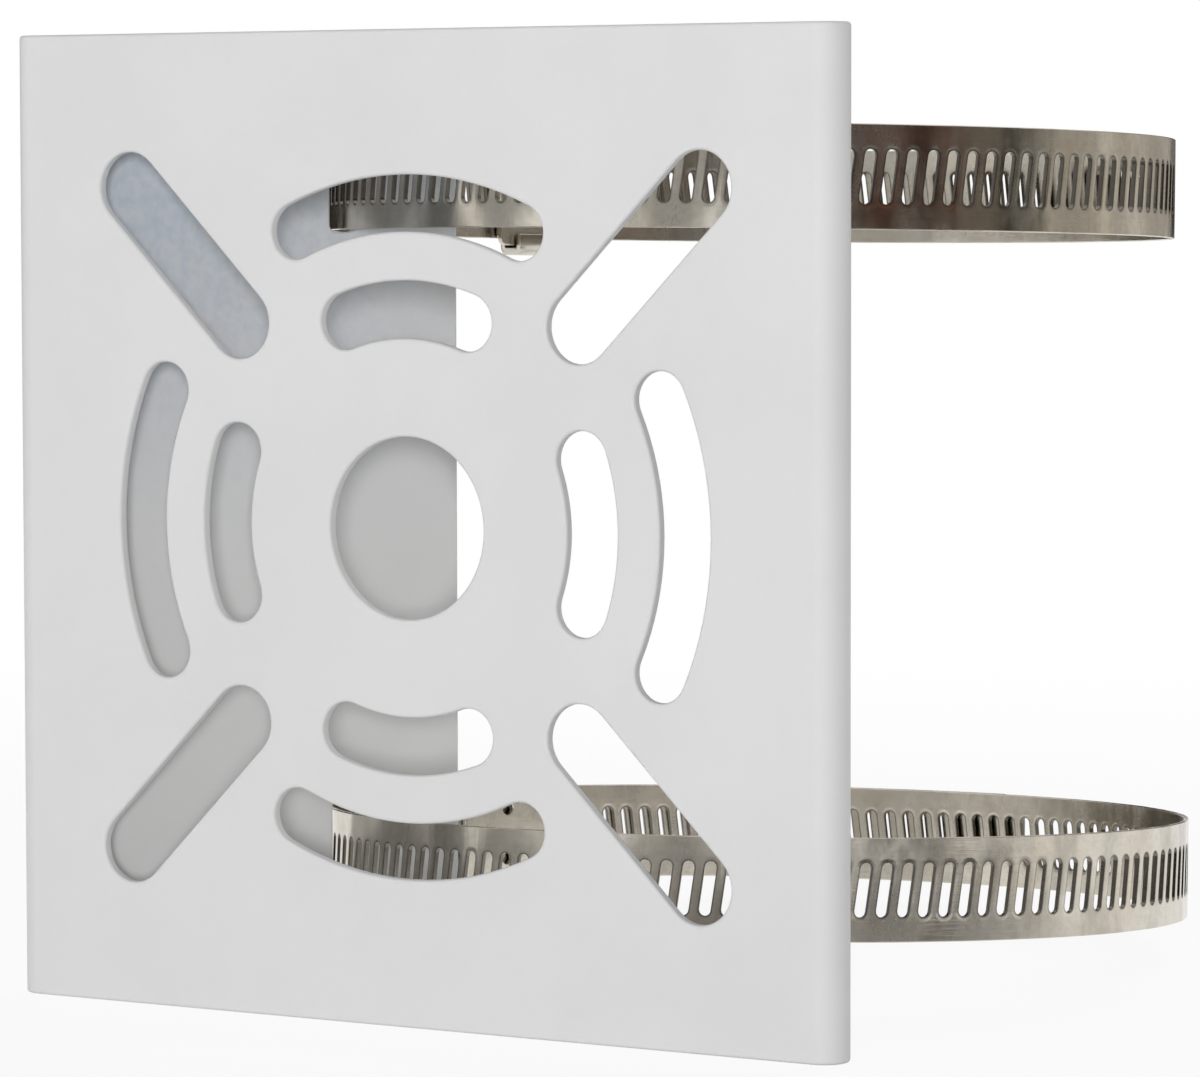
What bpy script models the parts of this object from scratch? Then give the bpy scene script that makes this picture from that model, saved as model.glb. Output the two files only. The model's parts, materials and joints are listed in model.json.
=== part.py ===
"""Pole mount bracket for a camera: a folded sheet bracket and two perforated worm drive clamps.

The bracket is laid out as a flat blank and folded. Each clamp is a perforated band rolled into
a ring that passes through two slots of the bracket's flanges, with a saddle, a screw housing
and a worm screw. Units are metres, +Z is up and the camera side of the plate faces -Y.
The origin is the middle of the plate's bottom edge, half way through the sheet.
"""
import math
from dataclasses import dataclass

import bmesh
import bpy
from mathutils import Euler, Matrix, Vector

# Folded bracket
SHEET = 0.0015
PLATE_HEIGHT = 0.118
PLATE_WIDTH = 0.116
BEND_INNER_RADIUS = 0.0015
FLANGE_ANGLE = math.radians(60.0)
FLANGE_LENGTH = 0.0574
FLANGE_CORNER_RADIUS = 0.0030
BEND_STEPS = 7

# Hole pattern in the plate, whose centre is a little above the plate's own
PATTERN_RISE = 0.0003
CENTRE_HOLE_RADIUS = 0.0108
INNER_ARC_RADIUS = 0.0258
INNER_ARC_WIDTH = 0.0068
INNER_ARC_HALF_ANGLE = math.radians(19.5)
OUTER_ARC_RADIUS = 0.0383
OUTER_ARC_WIDTH = 0.0067
OUTER_ARC_HALF_ANGLE = math.radians(24.3)
DIAGONAL_START = 0.0339
DIAGONAL_END = 0.0567
DIAGONAL_WIDTH = 0.0086
SLOTS_AROUND = 4
CIRCLE_STEPS = 40
ARC_STEPS = 10
CAP_STEPS = 8
WINDOW_CORNER_STEPS = 4

# Windows in the flanges that the bands pass through
WINDOW_DISTANCE = 0.0413
WINDOW_LENGTH = 0.0174
WINDOW_WIDTH = 0.0036
WINDOW_CORNER = 0.0010
WINDOW_SPACING = 0.0868
SEAT_GAP = 0.0003

# Band of each clamp
BAND_WIDTH = 0.0127
BAND_THICKNESS = 0.00065
PERFORATION_PITCH = 0.002692
PERFORATION_LENGTH = 0.0067
PERFORATION_WIDTH = 0.00145
PERFORATION_TIP = 0.0006
PERFORATION_LEAN = math.radians(7.5)
PERFORATIONS_PER_BAY = 2
LAYER_GAP = 0.0003
FREE_LENGTH = 0.4292
TAIL_PLAIN_LENGTH = 0.0086
TAIL_TIP_LENGTH = 0.0040
TAIL_TIP_WIDTH = 0.0050
RAMP_LENGTH = 0.0230
START_LENGTH = 0.0072
START_PLAIN_LENGTH = 0.0203
PLAIN_STEPS = 5
TIP_STEPS = 5

# Screw housing and saddle of each clamp
HOUSING_SHEET = 0.0010
HOUSING_WIDTH = 0.0172
HOUSING_LENGTH = 0.0112
HOUSING_BEND_RADIUS = 0.0008
HOUSING_BEND_STEPS = 2
HOUSING_CLEARANCE = 0.0006
DOME_STEPS = 8
HOOK_REACH = 0.0024
SADDLE_SHEET = 0.0009
SADDLE_LENGTH = 0.0150
SADDLE_MIDDLE_LENGTH = 0.0050
SADDLE_CLEARANCE = 0.0003
LOCK_HOLE_RADIUS = 0.0008
LOCK_HOLE_OFFSET = 0.0034
LOCK_HOLE_STEPS = 8

# Worm screw of each clamp
THREAD_RADIUS = 0.0040
THREAD_DEPTH = 0.0009
THREAD_CLEARANCE = 0.0003
NECK_RADIUS = 0.0021
NECK_CLEARANCE = 0.0004
COLLAR_RADIUS = 0.0040
COLLAR_THICKNESS = 0.0010
HEX_ACROSS_FLATS = 0.0068
HEX_HEIGHT = 0.0042
DRIVE_SLOT_WIDTH = 0.0012
DRIVE_SLOT_DEPTH = 0.0016
END_FLOAT = 0.0003
SCREW_SIDES = 12

# Points closer than this are one point, and edges steeper than this are shaded sharp
MERGE_DISTANCE = 1e-6
SHARP_ANGLE = math.radians(35.0)

# Sizes that follow from the ones above
BEND_RADIUS = BEND_INNER_RADIUS + SHEET / 2
BEND_TURN = math.pi - FLANGE_ANGLE
BEND_ARC = BEND_RADIUS * BEND_TURN
FLAT_HALF_WIDTH = PLATE_WIDTH / 2 - BEND_INNER_RADIUS - SHEET
BLANK_HALF_WIDTH = FLAT_HALF_WIDTH + BEND_ARC + FLANGE_LENGTH
INNER_ARC = (INNER_ARC_RADIUS, INNER_ARC_WIDTH, INNER_ARC_HALF_ANGLE)
OUTER_ARC = (OUTER_ARC_RADIUS, OUTER_ARC_WIDTH, OUTER_ARC_HALF_ANGLE)
LAYER_STEP = BAND_THICKNESS + LAYER_GAP
HOUSING_HALF_WIDTH = HOUSING_WIDTH / 2 - HOUSING_SHEET / 2
DOME_RADIUS = THREAD_RADIUS + HOUSING_CLEARANCE + HOUSING_SHEET / 2


@dataclass(frozen=True)
class Clamp:
    """One clamp as it hangs in its windows: its size, its place, its lean and its housing's turn."""

    name: str
    ring_radius: float
    window_height: float
    sag: float
    lean: float
    housing_angle: float

    @property
    def outer_radius(self):
        """Middle of the band's outer layer, where it laps over the inner one."""
        return self.ring_radius + LAYER_STEP

    @property
    def shoulder_radius(self):
        """Middle of the housing's sheet where it lies over the band."""
        return self.outer_radius + BAND_THICKNESS / 2 + LAYER_GAP + HOUSING_SHEET / 2

    @property
    def screw_radius(self):
        """Distance of the worm screw's axis from the ring's axis."""
        return self.outer_radius + BAND_THICKNESS / 2 + THREAD_CLEARANCE + THREAD_RADIUS

    @property
    def saddle_radius(self):
        """Middle of the saddle's sheet, inside the band."""
        return self.ring_radius - BAND_THICKNESS / 2 - LAYER_GAP - SADDLE_SHEET / 2

    @property
    def hook_radius(self):
        """Middle of the housing's hooks, which grip the saddle from inside."""
        return self.saddle_radius - SADDLE_SHEET / 2 - LAYER_GAP - HOUSING_SHEET / 2


UPPER_CLAMP = Clamp(
    name="upper",
    ring_radius=0.0544,
    window_height=(PLATE_HEIGHT + WINDOW_SPACING) / 2,
    sag=math.radians(1.62),
    lean=math.radians(0.23),
    housing_angle=math.radians(152.0),
)
LOWER_CLAMP = Clamp(
    name="lower",
    ring_radius=0.0557,
    window_height=(PLATE_HEIGHT - WINDOW_SPACING) / 2,
    sag=math.radians(2.94),
    lean=math.radians(0.74),
    housing_angle=math.radians(159.5),
)


def make_material(name, colour, metallic, roughness):
    """Principled material with the given base colour, metallic value and roughness."""
    material = bpy.data.materials.new(name)
    material.use_nodes = True
    shader = material.node_tree.nodes["Principled BSDF"]
    shader.inputs["Base Color"].default_value = (*colour, 1.0)
    shader.inputs["Metallic"].default_value = metallic
    shader.inputs["Roughness"].default_value = roughness
    return material


def add_object(name, mesh, material, parent=None):
    """Object for a finished mesh, in the scene's collection and under its parent."""
    mesh.materials.append(material)
    thing = bpy.data.objects.new(name, mesh)
    bpy.context.scene.collection.objects.link(thing)
    thing.parent = parent
    return thing


def thicken(thing, thickness, has_corners=True):
    """Gives a sheet its thickness, half to each side of the surface that was modelled."""
    solid = thing.modifiers.new("thickness", "SOLIDIFY")
    solid.thickness = thickness
    solid.offset = 0.0
    solid.use_even_offset = has_corners
    solid.use_quality_normals = True


def apply_modifiers():
    """Turns each piece into its finished mesh, shaded smooth except at its real edges."""
    depsgraph = bpy.context.evaluated_depsgraph_get()
    pieces = [thing for thing in bpy.data.objects if thing.type == "MESH" and not thing.hide_render]
    finished = [bpy.data.meshes.new_from_object(piece.evaluated_get(depsgraph)) for piece in pieces]
    for piece, mesh in zip(pieces, finished):
        piece.modifiers.clear()
        piece.data = mesh
        mesh.name = piece.name
        mesh.shade_smooth()
        mesh.set_sharp_from_angle(angle=SHARP_ANGLE)
    for cutter in [thing for thing in bpy.data.objects if thing.hide_render]:
        bpy.data.objects.remove(cutter, do_unlink=True)


def mesh_from(bm, name):
    """Writes a bmesh to a new mesh, with its faces turned the same way."""
    bmesh.ops.recalc_face_normals(bm, faces=bm.faces[:])
    mesh = bpy.data.meshes.new(name)
    bm.to_mesh(mesh)
    bm.free()
    return mesh


def arc_points(centre, radius, start, turn, steps):
    """Points on an arc, both ends included."""
    angles = [start + turn * i / steps for i in range(steps + 1)]
    return [(centre[0] + radius * math.cos(a), centre[1] + radius * math.sin(a)) for a in angles]


def circle_outline(centre, radius, steps):
    """Closed round outline."""
    return arc_points(centre, radius, 0.0, 2 * math.pi, steps)[:-1]


def straight_slot(start, end, width):
    """Outline of a straight slot with round ends, given the centres of its ends."""
    along = math.atan2(end[1] - start[1], end[0] - start[0])
    first = arc_points(end, width / 2, along - math.pi / 2, math.pi, CAP_STEPS)
    last = arc_points(start, width / 2, along + math.pi / 2, math.pi, CAP_STEPS)
    return first + last


def window_outline(centre):
    """Outline of one window for a band: an upright rectangle with rounded corners."""
    x, z = WINDOW_WIDTH / 2 - WINDOW_CORNER, WINDOW_LENGTH / 2 - WINDOW_CORNER
    outline = []
    for i, (side, level) in enumerate(((1, 1), (-1, 1), (-1, -1), (1, -1))):
        place = (centre[0] + side * x, centre[1] + level * z)
        start = i * math.pi / 2
        outline.extend(arc_points(place, WINDOW_CORNER, start, math.pi / 2, WINDOW_CORNER_STEPS))
    return outline


def arc_slot(centre, radius, width, middle, half_angle):
    """Outline of a slot that is curved round a centre, with round ends."""
    low, high = middle - half_angle, middle + half_angle
    outer = arc_points(centre, radius + width / 2, low, 2 * half_angle, ARC_STEPS)
    inner = arc_points(centre, radius - width / 2, high, -2 * half_angle, ARC_STEPS)
    high_end = (centre[0] + radius * math.cos(high), centre[1] + radius * math.sin(high))
    low_end = (centre[0] + radius * math.cos(low), centre[1] + radius * math.sin(low))
    high_cap = arc_points(high_end, width / 2, high, math.pi, CAP_STEPS)[1:-1]
    low_cap = arc_points(low_end, width / 2, low + math.pi, math.pi, CAP_STEPS)[1:-1]
    return outer + high_cap + inner + low_cap


def plate_holes():
    """Outlines of the centre hole, the two rings of arcs and the diagonals, in the blank."""
    centre = (0.0, PLATE_HEIGHT / 2 + PATTERN_RISE)
    holes = [circle_outline(centre, CENTRE_HOLE_RADIUS, CIRCLE_STEPS)]
    for i in range(SLOTS_AROUND):
        square = 2 * math.pi * i / SLOTS_AROUND
        diagonal = square + math.pi / SLOTS_AROUND
        for radius, width, half_angle in (INNER_ARC, OUTER_ARC):
            holes.append(arc_slot(centre, radius, width, square, half_angle))
        ray = Vector((math.cos(diagonal), math.sin(diagonal)))
        start = Vector(centre) + ray * DIAGONAL_START
        end = Vector(centre) + ray * DIAGONAL_END
        holes.append(straight_slot(start, end, DIAGONAL_WIDTH))
    return holes


def band_windows(side):
    """Outlines of the two windows in one flange, in the blank."""
    along = side * (FLAT_HALF_WIDTH + BEND_ARC + WINDOW_DISTANCE)
    return [window_outline((along, clamp.window_height)) for clamp in (UPPER_CLAMP, LOWER_CLAMP)]


def plate_outline():
    """Flat part of the plate, from one bend line to the other."""
    x = FLAT_HALF_WIDTH
    return [(-x, 0.0), (x, 0.0), (x, PLATE_HEIGHT), (-x, PLATE_HEIGHT)]


def flange_outline(side):
    """Flat part of one flange in the blank, with rounded corners at its free edge."""
    start = FLAT_HALF_WIDTH + BEND_ARC
    end = BLANK_HALF_WIDTH - FLANGE_CORNER_RADIUS
    low, high = FLANGE_CORNER_RADIUS, PLATE_HEIGHT - FLANGE_CORNER_RADIUS
    outline = [(start, 0.0)]
    outline.extend(arc_points((end, low), FLANGE_CORNER_RADIUS, -math.pi / 2, math.pi / 2, CAP_STEPS))
    outline.extend(arc_points((end, high), FLANGE_CORNER_RADIUS, 0.0, math.pi / 2, CAP_STEPS))
    outline.append((start, PLATE_HEIGHT))
    return [(side * x, z) for x, z in outline]


def bend_outline(side, step):
    """One narrow strip of a bend in the blank, from one bend line to the next."""
    near = side * (FLAT_HALF_WIDTH + BEND_ARC * step / BEND_STEPS)
    far = side * (FLAT_HALF_WIDTH + BEND_ARC * (step + 1) / BEND_STEPS)
    return [(near, 0.0), (far, 0.0), (far, PLATE_HEIGHT), (near, PLATE_HEIGHT)]


def fold_point(along):
    """Place in plan, once folded, of the point at a distance along the blank from its middle."""
    side = -1.0 if along < 0 else 1.0
    distance = abs(along)
    flat = min(distance, FLAT_HALF_WIDTH)
    turned = min(max((distance - FLAT_HALF_WIDTH) / BEND_RADIUS, 0.0), BEND_TURN)
    beyond = max(distance - FLAT_HALF_WIDTH - BEND_ARC, 0.0)
    x = flat + BEND_RADIUS * math.sin(turned) + beyond * math.cos(turned)
    y = BEND_RADIUS * (1 - math.cos(turned)) + beyond * math.sin(turned)
    return side * x, y


def fill_region(bm, outlines):
    """Fills the first outline, less the others, in the blank's plane, which stands at y = 0."""
    edges = []
    for outline in outlines:
        verts = [bm.verts.new((x, 0.0, z)) for x, z in outline]
        edges.extend(bm.edges.new((verts[i - 1], verts[i])) for i in range(len(verts)))
    bmesh.ops.triangle_fill(bm, use_beauty=True, use_dissolve=False, edges=edges, normal=(0, -1, 0))


def make_bracket(material):
    """Lays out the blank between its bend lines, with its holes, and folds both flanges back."""
    bm = bmesh.new()
    fill_region(bm, [plate_outline()] + plate_holes())
    for side in (-1, 1):
        fill_region(bm, [flange_outline(side)] + band_windows(side))
        for step in range(BEND_STEPS):
            fill_region(bm, [bend_outline(side, step)])
    bmesh.ops.remove_doubles(bm, verts=bm.verts[:], dist=MERGE_DISTANCE)
    for vert in bm.verts:
        x, y = fold_point(vert.co.x)
        vert.co = Vector((x, y, vert.co.z))
    bracket = add_object("bracket", mesh_from(bm, "bracket"), material)
    thicken(bracket, SHEET)
    return bracket


def layer_radius(clamp, along):
    """Radius of the band at a length wound on from the housing, its last layer outermost."""
    ramp_start = 2 * math.pi * clamp.ring_radius - START_LENGTH - RAMP_LENGTH
    share = min(max((along - ramp_start) / RAMP_LENGTH, 0.0), 1.0)
    smooth = share * share * (3 - 2 * share)
    return clamp.ring_radius + (clamp.outer_radius - clamp.ring_radius) * smooth


def wound_angle(clamp, along):
    """Angle wound on at a length along the band; past the ramp's middle the turn is wider."""
    ramp_middle = 2 * math.pi * clamp.ring_radius - START_LENGTH - RAMP_LENGTH / 2
    lapped = max(along - ramp_middle, 0.0)
    return (along - lapped) / clamp.ring_radius + lapped / clamp.outer_radius


def roll_point(clamp, along, height):
    """Point of the band at a length wound on clockwise from the housing's middle."""
    radius = layer_radius(clamp, along)
    turned = wound_angle(clamp, along)
    return Vector((radius * math.cos(turned), -radius * math.sin(turned), height))


def perforation(bm, clamp, middle):
    """Six corners of one perforation, which leans back: up its left side, then down its right."""
    half = PERFORATION_WIDTH / 2
    tip = PERFORATION_LENGTH / 2
    shoulder = tip - PERFORATION_TIP
    slope = math.tan(PERFORATION_LEAN)
    left = [(-half, -shoulder), (-half, shoulder), (0.0, tip)]
    right = [(half, shoulder), (half, -shoulder), (0.0, -tip)]
    places = [(middle + across - up * slope, up) for across, up in left + right]
    return [bm.verts.new(roll_point(clamp, along, up)) for along, up in places]


def add_bay(bm, clamp, left, right, middles):
    """Faces between two pairs of edge points, round the perforations that lie between them."""
    web = left
    above = [left[1]]
    below = [left[0]]
    for middle in middles:
        low_left, up_left, up_tip, up_right, low_right, low_tip = perforation(bm, clamp, middle)
        bm.faces.new((web[0], web[1], up_left, low_left))
        upper = [above[-1], up_tip, up_left]
        lower = [below[-1], low_left, low_tip]
        if web is not left:
            upper.append(web[1])
            lower.insert(1, web[0])
        bm.faces.new(upper)
        bm.faces.new(lower)
        above.append(up_tip)
        below.append(low_tip)
        web = (low_right, up_right)
    bm.faces.new((web[0], web[1], right[1], right[0]))
    bm.faces.new((above[-1], right[1], web[1]))
    bm.faces.new((below[-1], web[0], right[0]))
    bm.faces.new(above + [right[1]])
    bm.faces.new(below + [right[0]])


def tail_tip_stations(end):
    """Lengths and half widths of the rounded tip at the band's free end."""
    stations = []
    for i in range(1, TIP_STEPS + 1):
        swing = math.pi / 2 * i / TIP_STEPS
        half = TAIL_TIP_WIDTH / 2 + (BAND_WIDTH - TAIL_TIP_WIDTH) / 2 * math.cos(swing)
        stations.append((end - TAIL_TIP_LENGTH * (1 - math.sin(swing)), half))
    return stations


def make_band(clamp, material, parent):
    """Rolls the perforated strip into a ring whose free end laps over its start."""
    half = BAND_WIDTH / 2
    bay = PERFORATIONS_PER_BAY * PERFORATION_PITCH
    first = START_PLAIN_LENGTH - START_LENGTH
    bays = int((FREE_LENGTH - TAIL_PLAIN_LENGTH - first) / bay)
    last = first + bays * bay
    stations = [(-START_LENGTH + START_PLAIN_LENGTH * i / PLAIN_STEPS, half) for i in range(PLAIN_STEPS)]
    stations += [(first + bay * i, half) for i in range(bays + 1)]
    stations.append((FREE_LENGTH - TAIL_TIP_LENGTH, half))
    stations += tail_tip_stations(FREE_LENGTH)
    bm = bmesh.new()
    columns = []
    for along, height in stations:
        low = bm.verts.new(roll_point(clamp, along, -height))
        high = bm.verts.new(roll_point(clamp, along, height))
        columns.append((low, high))
    for (along, _), left, right in zip(stations, columns, columns[1:]):
        if first - MERGE_DISTANCE < along < last - MERGE_DISTANCE:
            middles = [along + PERFORATION_PITCH * (i + 0.5) for i in range(PERFORATIONS_PER_BAY)]
            add_bay(bm, clamp, left, right, middles)
        else:
            bm.faces.new((left[0], left[1], right[1], right[0]))
    bmesh.ops.triangulate(bm, faces=bm.faces[:])
    name = clamp.name + "_band"
    band = add_object(name, mesh_from(bm, name), material, parent)
    band.rotation_euler.z = clamp.housing_angle
    thicken(band, BAND_THICKNESS, has_corners=False)
    return band


def rounded_path(corners, radius, steps):
    """Path through the corners, each inner one replaced by an arc of the given radius."""
    path = [Vector(corners[0])]
    for before, corner, after in zip(corners, corners[1:], corners[2:]):
        corner = Vector(corner)
        back = (Vector(before) - corner).normalized()
        ahead = (Vector(after) - corner).normalized()
        half = back.angle(ahead) / 2
        centre = corner + (back + ahead).normalized() * radius / math.sin(half)
        first = corner + back * radius / math.tan(half) - centre
        last = corner + ahead * radius / math.tan(half) - centre
        turn = first.angle_signed(last)
        for i in range(steps + 1):
            path.append(centre + Matrix.Rotation(-turn * i / steps, 2) @ first)
    path.append(Vector(corners[-1]))
    return path


def housing_path(clamp):
    """Section of the pressed housing: hook, side, shoulder, dome, shoulder, side, hook."""
    half = HOUSING_HALF_WIDTH
    tip = half - HOOK_REACH
    corners = [(clamp.hook_radius, tip), (clamp.hook_radius, half), (clamp.shoulder_radius, half)]
    corners += [(clamp.shoulder_radius, DOME_RADIUS), (clamp.screw_radius, DOME_RADIUS)]
    side = rounded_path(corners, HOUSING_BEND_RADIUS, HOUSING_BEND_STEPS)
    arch = arc_points((clamp.screw_radius, 0.0), DOME_RADIUS, math.pi / 2, -math.pi, DOME_STEPS)
    other = [Vector((p.x, -p.y)) for p in reversed(side)]
    return side[:-1] + [Vector(p) for p in arch] + other[1:]


def is_dome(clamp, point):
    """Whether a point of the housing's section belongs to the straight dome over the worm."""
    return point.x > clamp.shoulder_radius + HOUSING_BEND_RADIUS - MERGE_DISTANCE


def housing_point(clamp, point, station):
    """A point of the section at a station along the screw; below the dome it follows the ring."""
    radius = point.x if is_dome(clamp, point) else math.sqrt(point.x ** 2 - station ** 2)
    return Vector((radius, station, point.y))


def add_lip(bm, clamp, row, station):
    """End wall of the dome, with a slot for the screw's neck that is open towards the band."""
    radius = NECK_RADIUS + NECK_CLEARANCE
    inner = []
    for vert in row:
        offset = Vector((vert.co.x - clamp.screw_radius, vert.co.z))
        if offset.x > MERGE_DISTANCE:
            offset = offset.normalized() * radius
        else:
            offset.y = math.copysign(radius, offset.y)
        inner.append(bm.verts.new((clamp.screw_radius + offset.x, station, offset.y)))
    for i in range(len(row) - 1):
        bm.faces.new((row[i], row[i + 1], inner[i + 1], inner[i]))


def make_housing(clamp, material, parent):
    """Pressed housing: a section carried along the band, with a lip at each end of its dome."""
    path = housing_path(clamp)
    reach = (HOUSING_LENGTH - HOUSING_SHEET) / 2
    bm = bmesh.new()
    rows = []
    for station in (-reach, 0.0, reach):
        rows.append([bm.verts.new(housing_point(clamp, point, station)) for point in path])
    for row, following in zip(rows, rows[1:]):
        for i in range(len(path) - 1):
            bm.faces.new((row[i], row[i + 1], following[i + 1], following[i]))
    dome = [i for i, p in enumerate(path) if is_dome(clamp, p)]
    add_lip(bm, clamp, [rows[0][i] for i in dome], -reach)
    add_lip(bm, clamp, [rows[-1][i] for i in dome], reach)
    name = clamp.name + "_housing"
    housing = add_object(name, mesh_from(bm, name), material, parent)
    housing.rotation_euler.z = clamp.housing_angle
    thicken(housing, HOUSING_SHEET)
    return housing


def make_saddle(clamp, material, parent):
    """Curved plate inside the band, with two small lock holes, held by the housing's hooks."""
    half_width = HOUSING_HALF_WIDTH - HOUSING_SHEET / 2 - SADDLE_CLEARANCE
    end = SADDLE_LENGTH / 2
    middle = SADDLE_MIDDLE_LENGTH / 2
    places = [(0.0, -LOCK_HOLE_OFFSET), (0.0, LOCK_HOLE_OFFSET)]
    holes = [circle_outline(place, LOCK_HOLE_RADIUS, LOCK_HOLE_STEPS) for place in places]
    bm = bmesh.new()
    for low, high, cuts in ((-end, -middle, []), (-middle, middle, holes), (middle, end, [])):
        outline = [(low, -half_width), (high, -half_width), (high, half_width), (low, half_width)]
        fill_region(bm, [outline] + cuts)
    bmesh.ops.remove_doubles(bm, verts=bm.verts[:], dist=MERGE_DISTANCE)
    radius = clamp.saddle_radius
    for vert in bm.verts:
        angle = vert.co.x / radius
        vert.co = Vector((radius * math.cos(angle), radius * math.sin(angle), vert.co.z))
    name = clamp.name + "_saddle"
    saddle = add_object(name, mesh_from(bm, name), material, parent)
    saddle.rotation_euler.z = clamp.housing_angle
    thicken(saddle, SADDLE_SHEET)
    return saddle


def thread_rows(low, high):
    """Rows of (place, radius) pairs of a right-hand thread, one pair for each side of the worm."""
    root = THREAD_RADIUS - THREAD_DEPTH
    profile = (root, root, THREAD_RADIUS, THREAD_RADIUS)
    quarters = math.ceil((high - low) / PERFORATION_PITCH * len(profile)) + len(profile)
    rows = []
    for i in range(quarters + 1):
        row = []
        for j in range(SCREW_SIDES + 1):
            place = low + (i / len(profile) + j / SCREW_SIDES - 1) * PERFORATION_PITCH
            radius = profile[i % len(profile)] if low < place < high else root
            row.append((min(max(place, low), high), radius))
        rows.append(row)
    return rows


def hexagon_radius(angle):
    """Distance from the screw's axis to the head's side, in a direction."""
    sector = math.pi / 3
    return HEX_ACROSS_FLATS / 2 / math.cos((angle % sector) - sector / 2)


def screw_rows():
    """Rows of (place, radius) pairs along the whole screw, from its tip to its head."""
    sides = SCREW_SIDES + 1
    half = HOUSING_LENGTH / 2
    worm = half - HOUSING_SHEET - END_FLOAT
    root = THREAD_RADIUS - THREAD_DEPTH
    seat = half + END_FLOAT
    head = seat + COLLAR_THICKNESS
    hexagon = [hexagon_radius(2 * math.pi * j / SCREW_SIDES) for j in range(sides)]
    rows = [[(-seat, NECK_RADIUS)] * sides, [(-worm, NECK_RADIUS)] * sides, [(-worm, root)] * sides]
    rows += thread_rows(-worm, worm)
    rows += [[(worm, NECK_RADIUS)] * sides, [(seat, NECK_RADIUS)] * sides]
    rows += [[(seat, COLLAR_RADIUS)] * sides, [(head, COLLAR_RADIUS)] * sides]
    rows += [[(place, radius) for radius in hexagon] for place in (head, head + HEX_HEIGHT)]
    return rows


def add_drive_cutter(name, parent):
    """Box that cuts the screwdriver slot across the head."""
    head = HOUSING_LENGTH / 2 + END_FLOAT + COLLAR_THICKNESS + HEX_HEIGHT
    bm = bmesh.new()
    bmesh.ops.create_cube(bm, size=1.0)
    size = (2 * DRIVE_SLOT_DEPTH, 2 * HEX_ACROSS_FLATS, DRIVE_SLOT_WIDTH)
    bmesh.ops.scale(bm, vec=size, verts=bm.verts[:])
    bmesh.ops.translate(bm, vec=(head, 0, 0), verts=bm.verts[:])
    cutter = bpy.data.objects.new(name, mesh_from(bm, name))
    bpy.context.scene.collection.objects.link(cutter)
    cutter.parent = parent
    cutter.hide_render = True
    cutter.display_type = "WIRE"
    return cutter


def make_screw(clamp, material, parent):
    """Worm screw along its parent's X axis: necks, thread, collar and slotted hexagon head."""
    bm = bmesh.new()
    grid = []
    for row in screw_rows():
        verts = []
        for j, (place, radius) in enumerate(row):
            angle = 2 * math.pi * j / SCREW_SIDES
            verts.append(bm.verts.new((place, radius * math.cos(angle), radius * math.sin(angle))))
        grid.append(verts)
    for row, following in zip(grid, grid[1:]):
        for j in range(SCREW_SIDES):
            bm.faces.new((row[j], row[j + 1], following[j + 1], following[j]))
    bm.faces.new(reversed(grid[0][:-1]))
    bm.faces.new(grid[-1][:-1])
    bmesh.ops.remove_doubles(bm, verts=bm.verts[:], dist=MERGE_DISTANCE)
    bmesh.ops.dissolve_degenerate(bm, edges=bm.edges[:], dist=MERGE_DISTANCE)
    name = clamp.name + "_worm_screw"
    screw = add_object(name, mesh_from(bm, name), material, parent)
    cut = screw.modifiers.new("drive_slot", "BOOLEAN")
    cut.operation = "DIFFERENCE"
    cut.object = add_drive_cutter(clamp.name + "_drive_slot_cutter", parent)
    return screw


def make_axis(name, location, rotation, parent=None):
    """Empty that carries the pieces which turn about one of its axes."""
    empty = bpy.data.objects.new(name, None)
    empty.empty_display_size = BAND_WIDTH
    bpy.context.scene.collection.objects.link(empty)
    empty.parent = parent
    empty.location = location
    empty.rotation_euler = rotation
    return empty


def hanging_place(clamp, rotation):
    """Ring centre at which the band rests on the lower end of its lower window."""
    window_x, window_y = fold_point(FLAT_HALF_WIDTH + BEND_ARC + WINDOW_DISTANCE)
    behind = math.sqrt(clamp.ring_radius ** 2 - window_x ** 2)
    left = rotation.to_matrix() @ Vector((-window_x, -behind, 0.0))
    seat = clamp.window_height - WINDOW_LENGTH / 2 + SEAT_GAP + BAND_WIDTH / 2
    return Vector((0.0, window_y - left.y, seat - left.z))


def make_clamp(clamp, steel, screw_steel):
    """One clamp, threaded through its pair of windows."""
    rotation = Euler((-clamp.sag, -clamp.lean, 0.0))
    ring = make_axis(clamp.name + "_clamp_axis", hanging_place(clamp, rotation), rotation)
    make_band(clamp, steel, ring)
    make_housing(clamp, steel, ring)
    make_saddle(clamp, steel, ring)
    angle = clamp.housing_angle
    place = Vector((math.cos(angle), math.sin(angle), 0.0)) * clamp.screw_radius
    tangent = (0.0, 0.0, angle - math.pi / 2)
    make_screw(clamp, screw_steel, make_axis(clamp.name + "_screw_axis", place, tangent, ring))


def main():
    """Clears the scene and builds the bracket and its two clamps."""
    for thing in list(bpy.data.objects):
        bpy.data.objects.remove(thing, do_unlink=True)
    coat = make_material("light_grey_coat", (0.66, 0.66, 0.66), 0.0, 0.45)
    steel = make_material("stainless_strip", (0.52, 0.49, 0.44), 1.0, 0.32)
    screw_steel = make_material("plated_screw", (0.58, 0.57, 0.54), 1.0, 0.28)
    make_bracket(coat)
    make_clamp(UPPER_CLAMP, steel, screw_steel)
    make_clamp(LOWER_CLAMP, steel, screw_steel)
    apply_modifiers()


main()
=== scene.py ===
"""Looks of the pole mount bracket: a powder coated sheet bracket and two stainless worm drive clamps.

Every piece of sheet or strip is worked out flat first, as arrays of points (along, up, out): how far
along the blank, how far up it and how far out of its middle surface. A layout then folds or rolls those
points and their normals into place. Units are metres, +Z is up and the plate faces -Y.
"""
import json
import logging
import math
from dataclasses import dataclass, field, replace
from enum import Enum

import bpy
import numpy as np
from mathutils import Matrix, Vector
from mathutils.geometry import delaunay_2d_cdt


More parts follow.
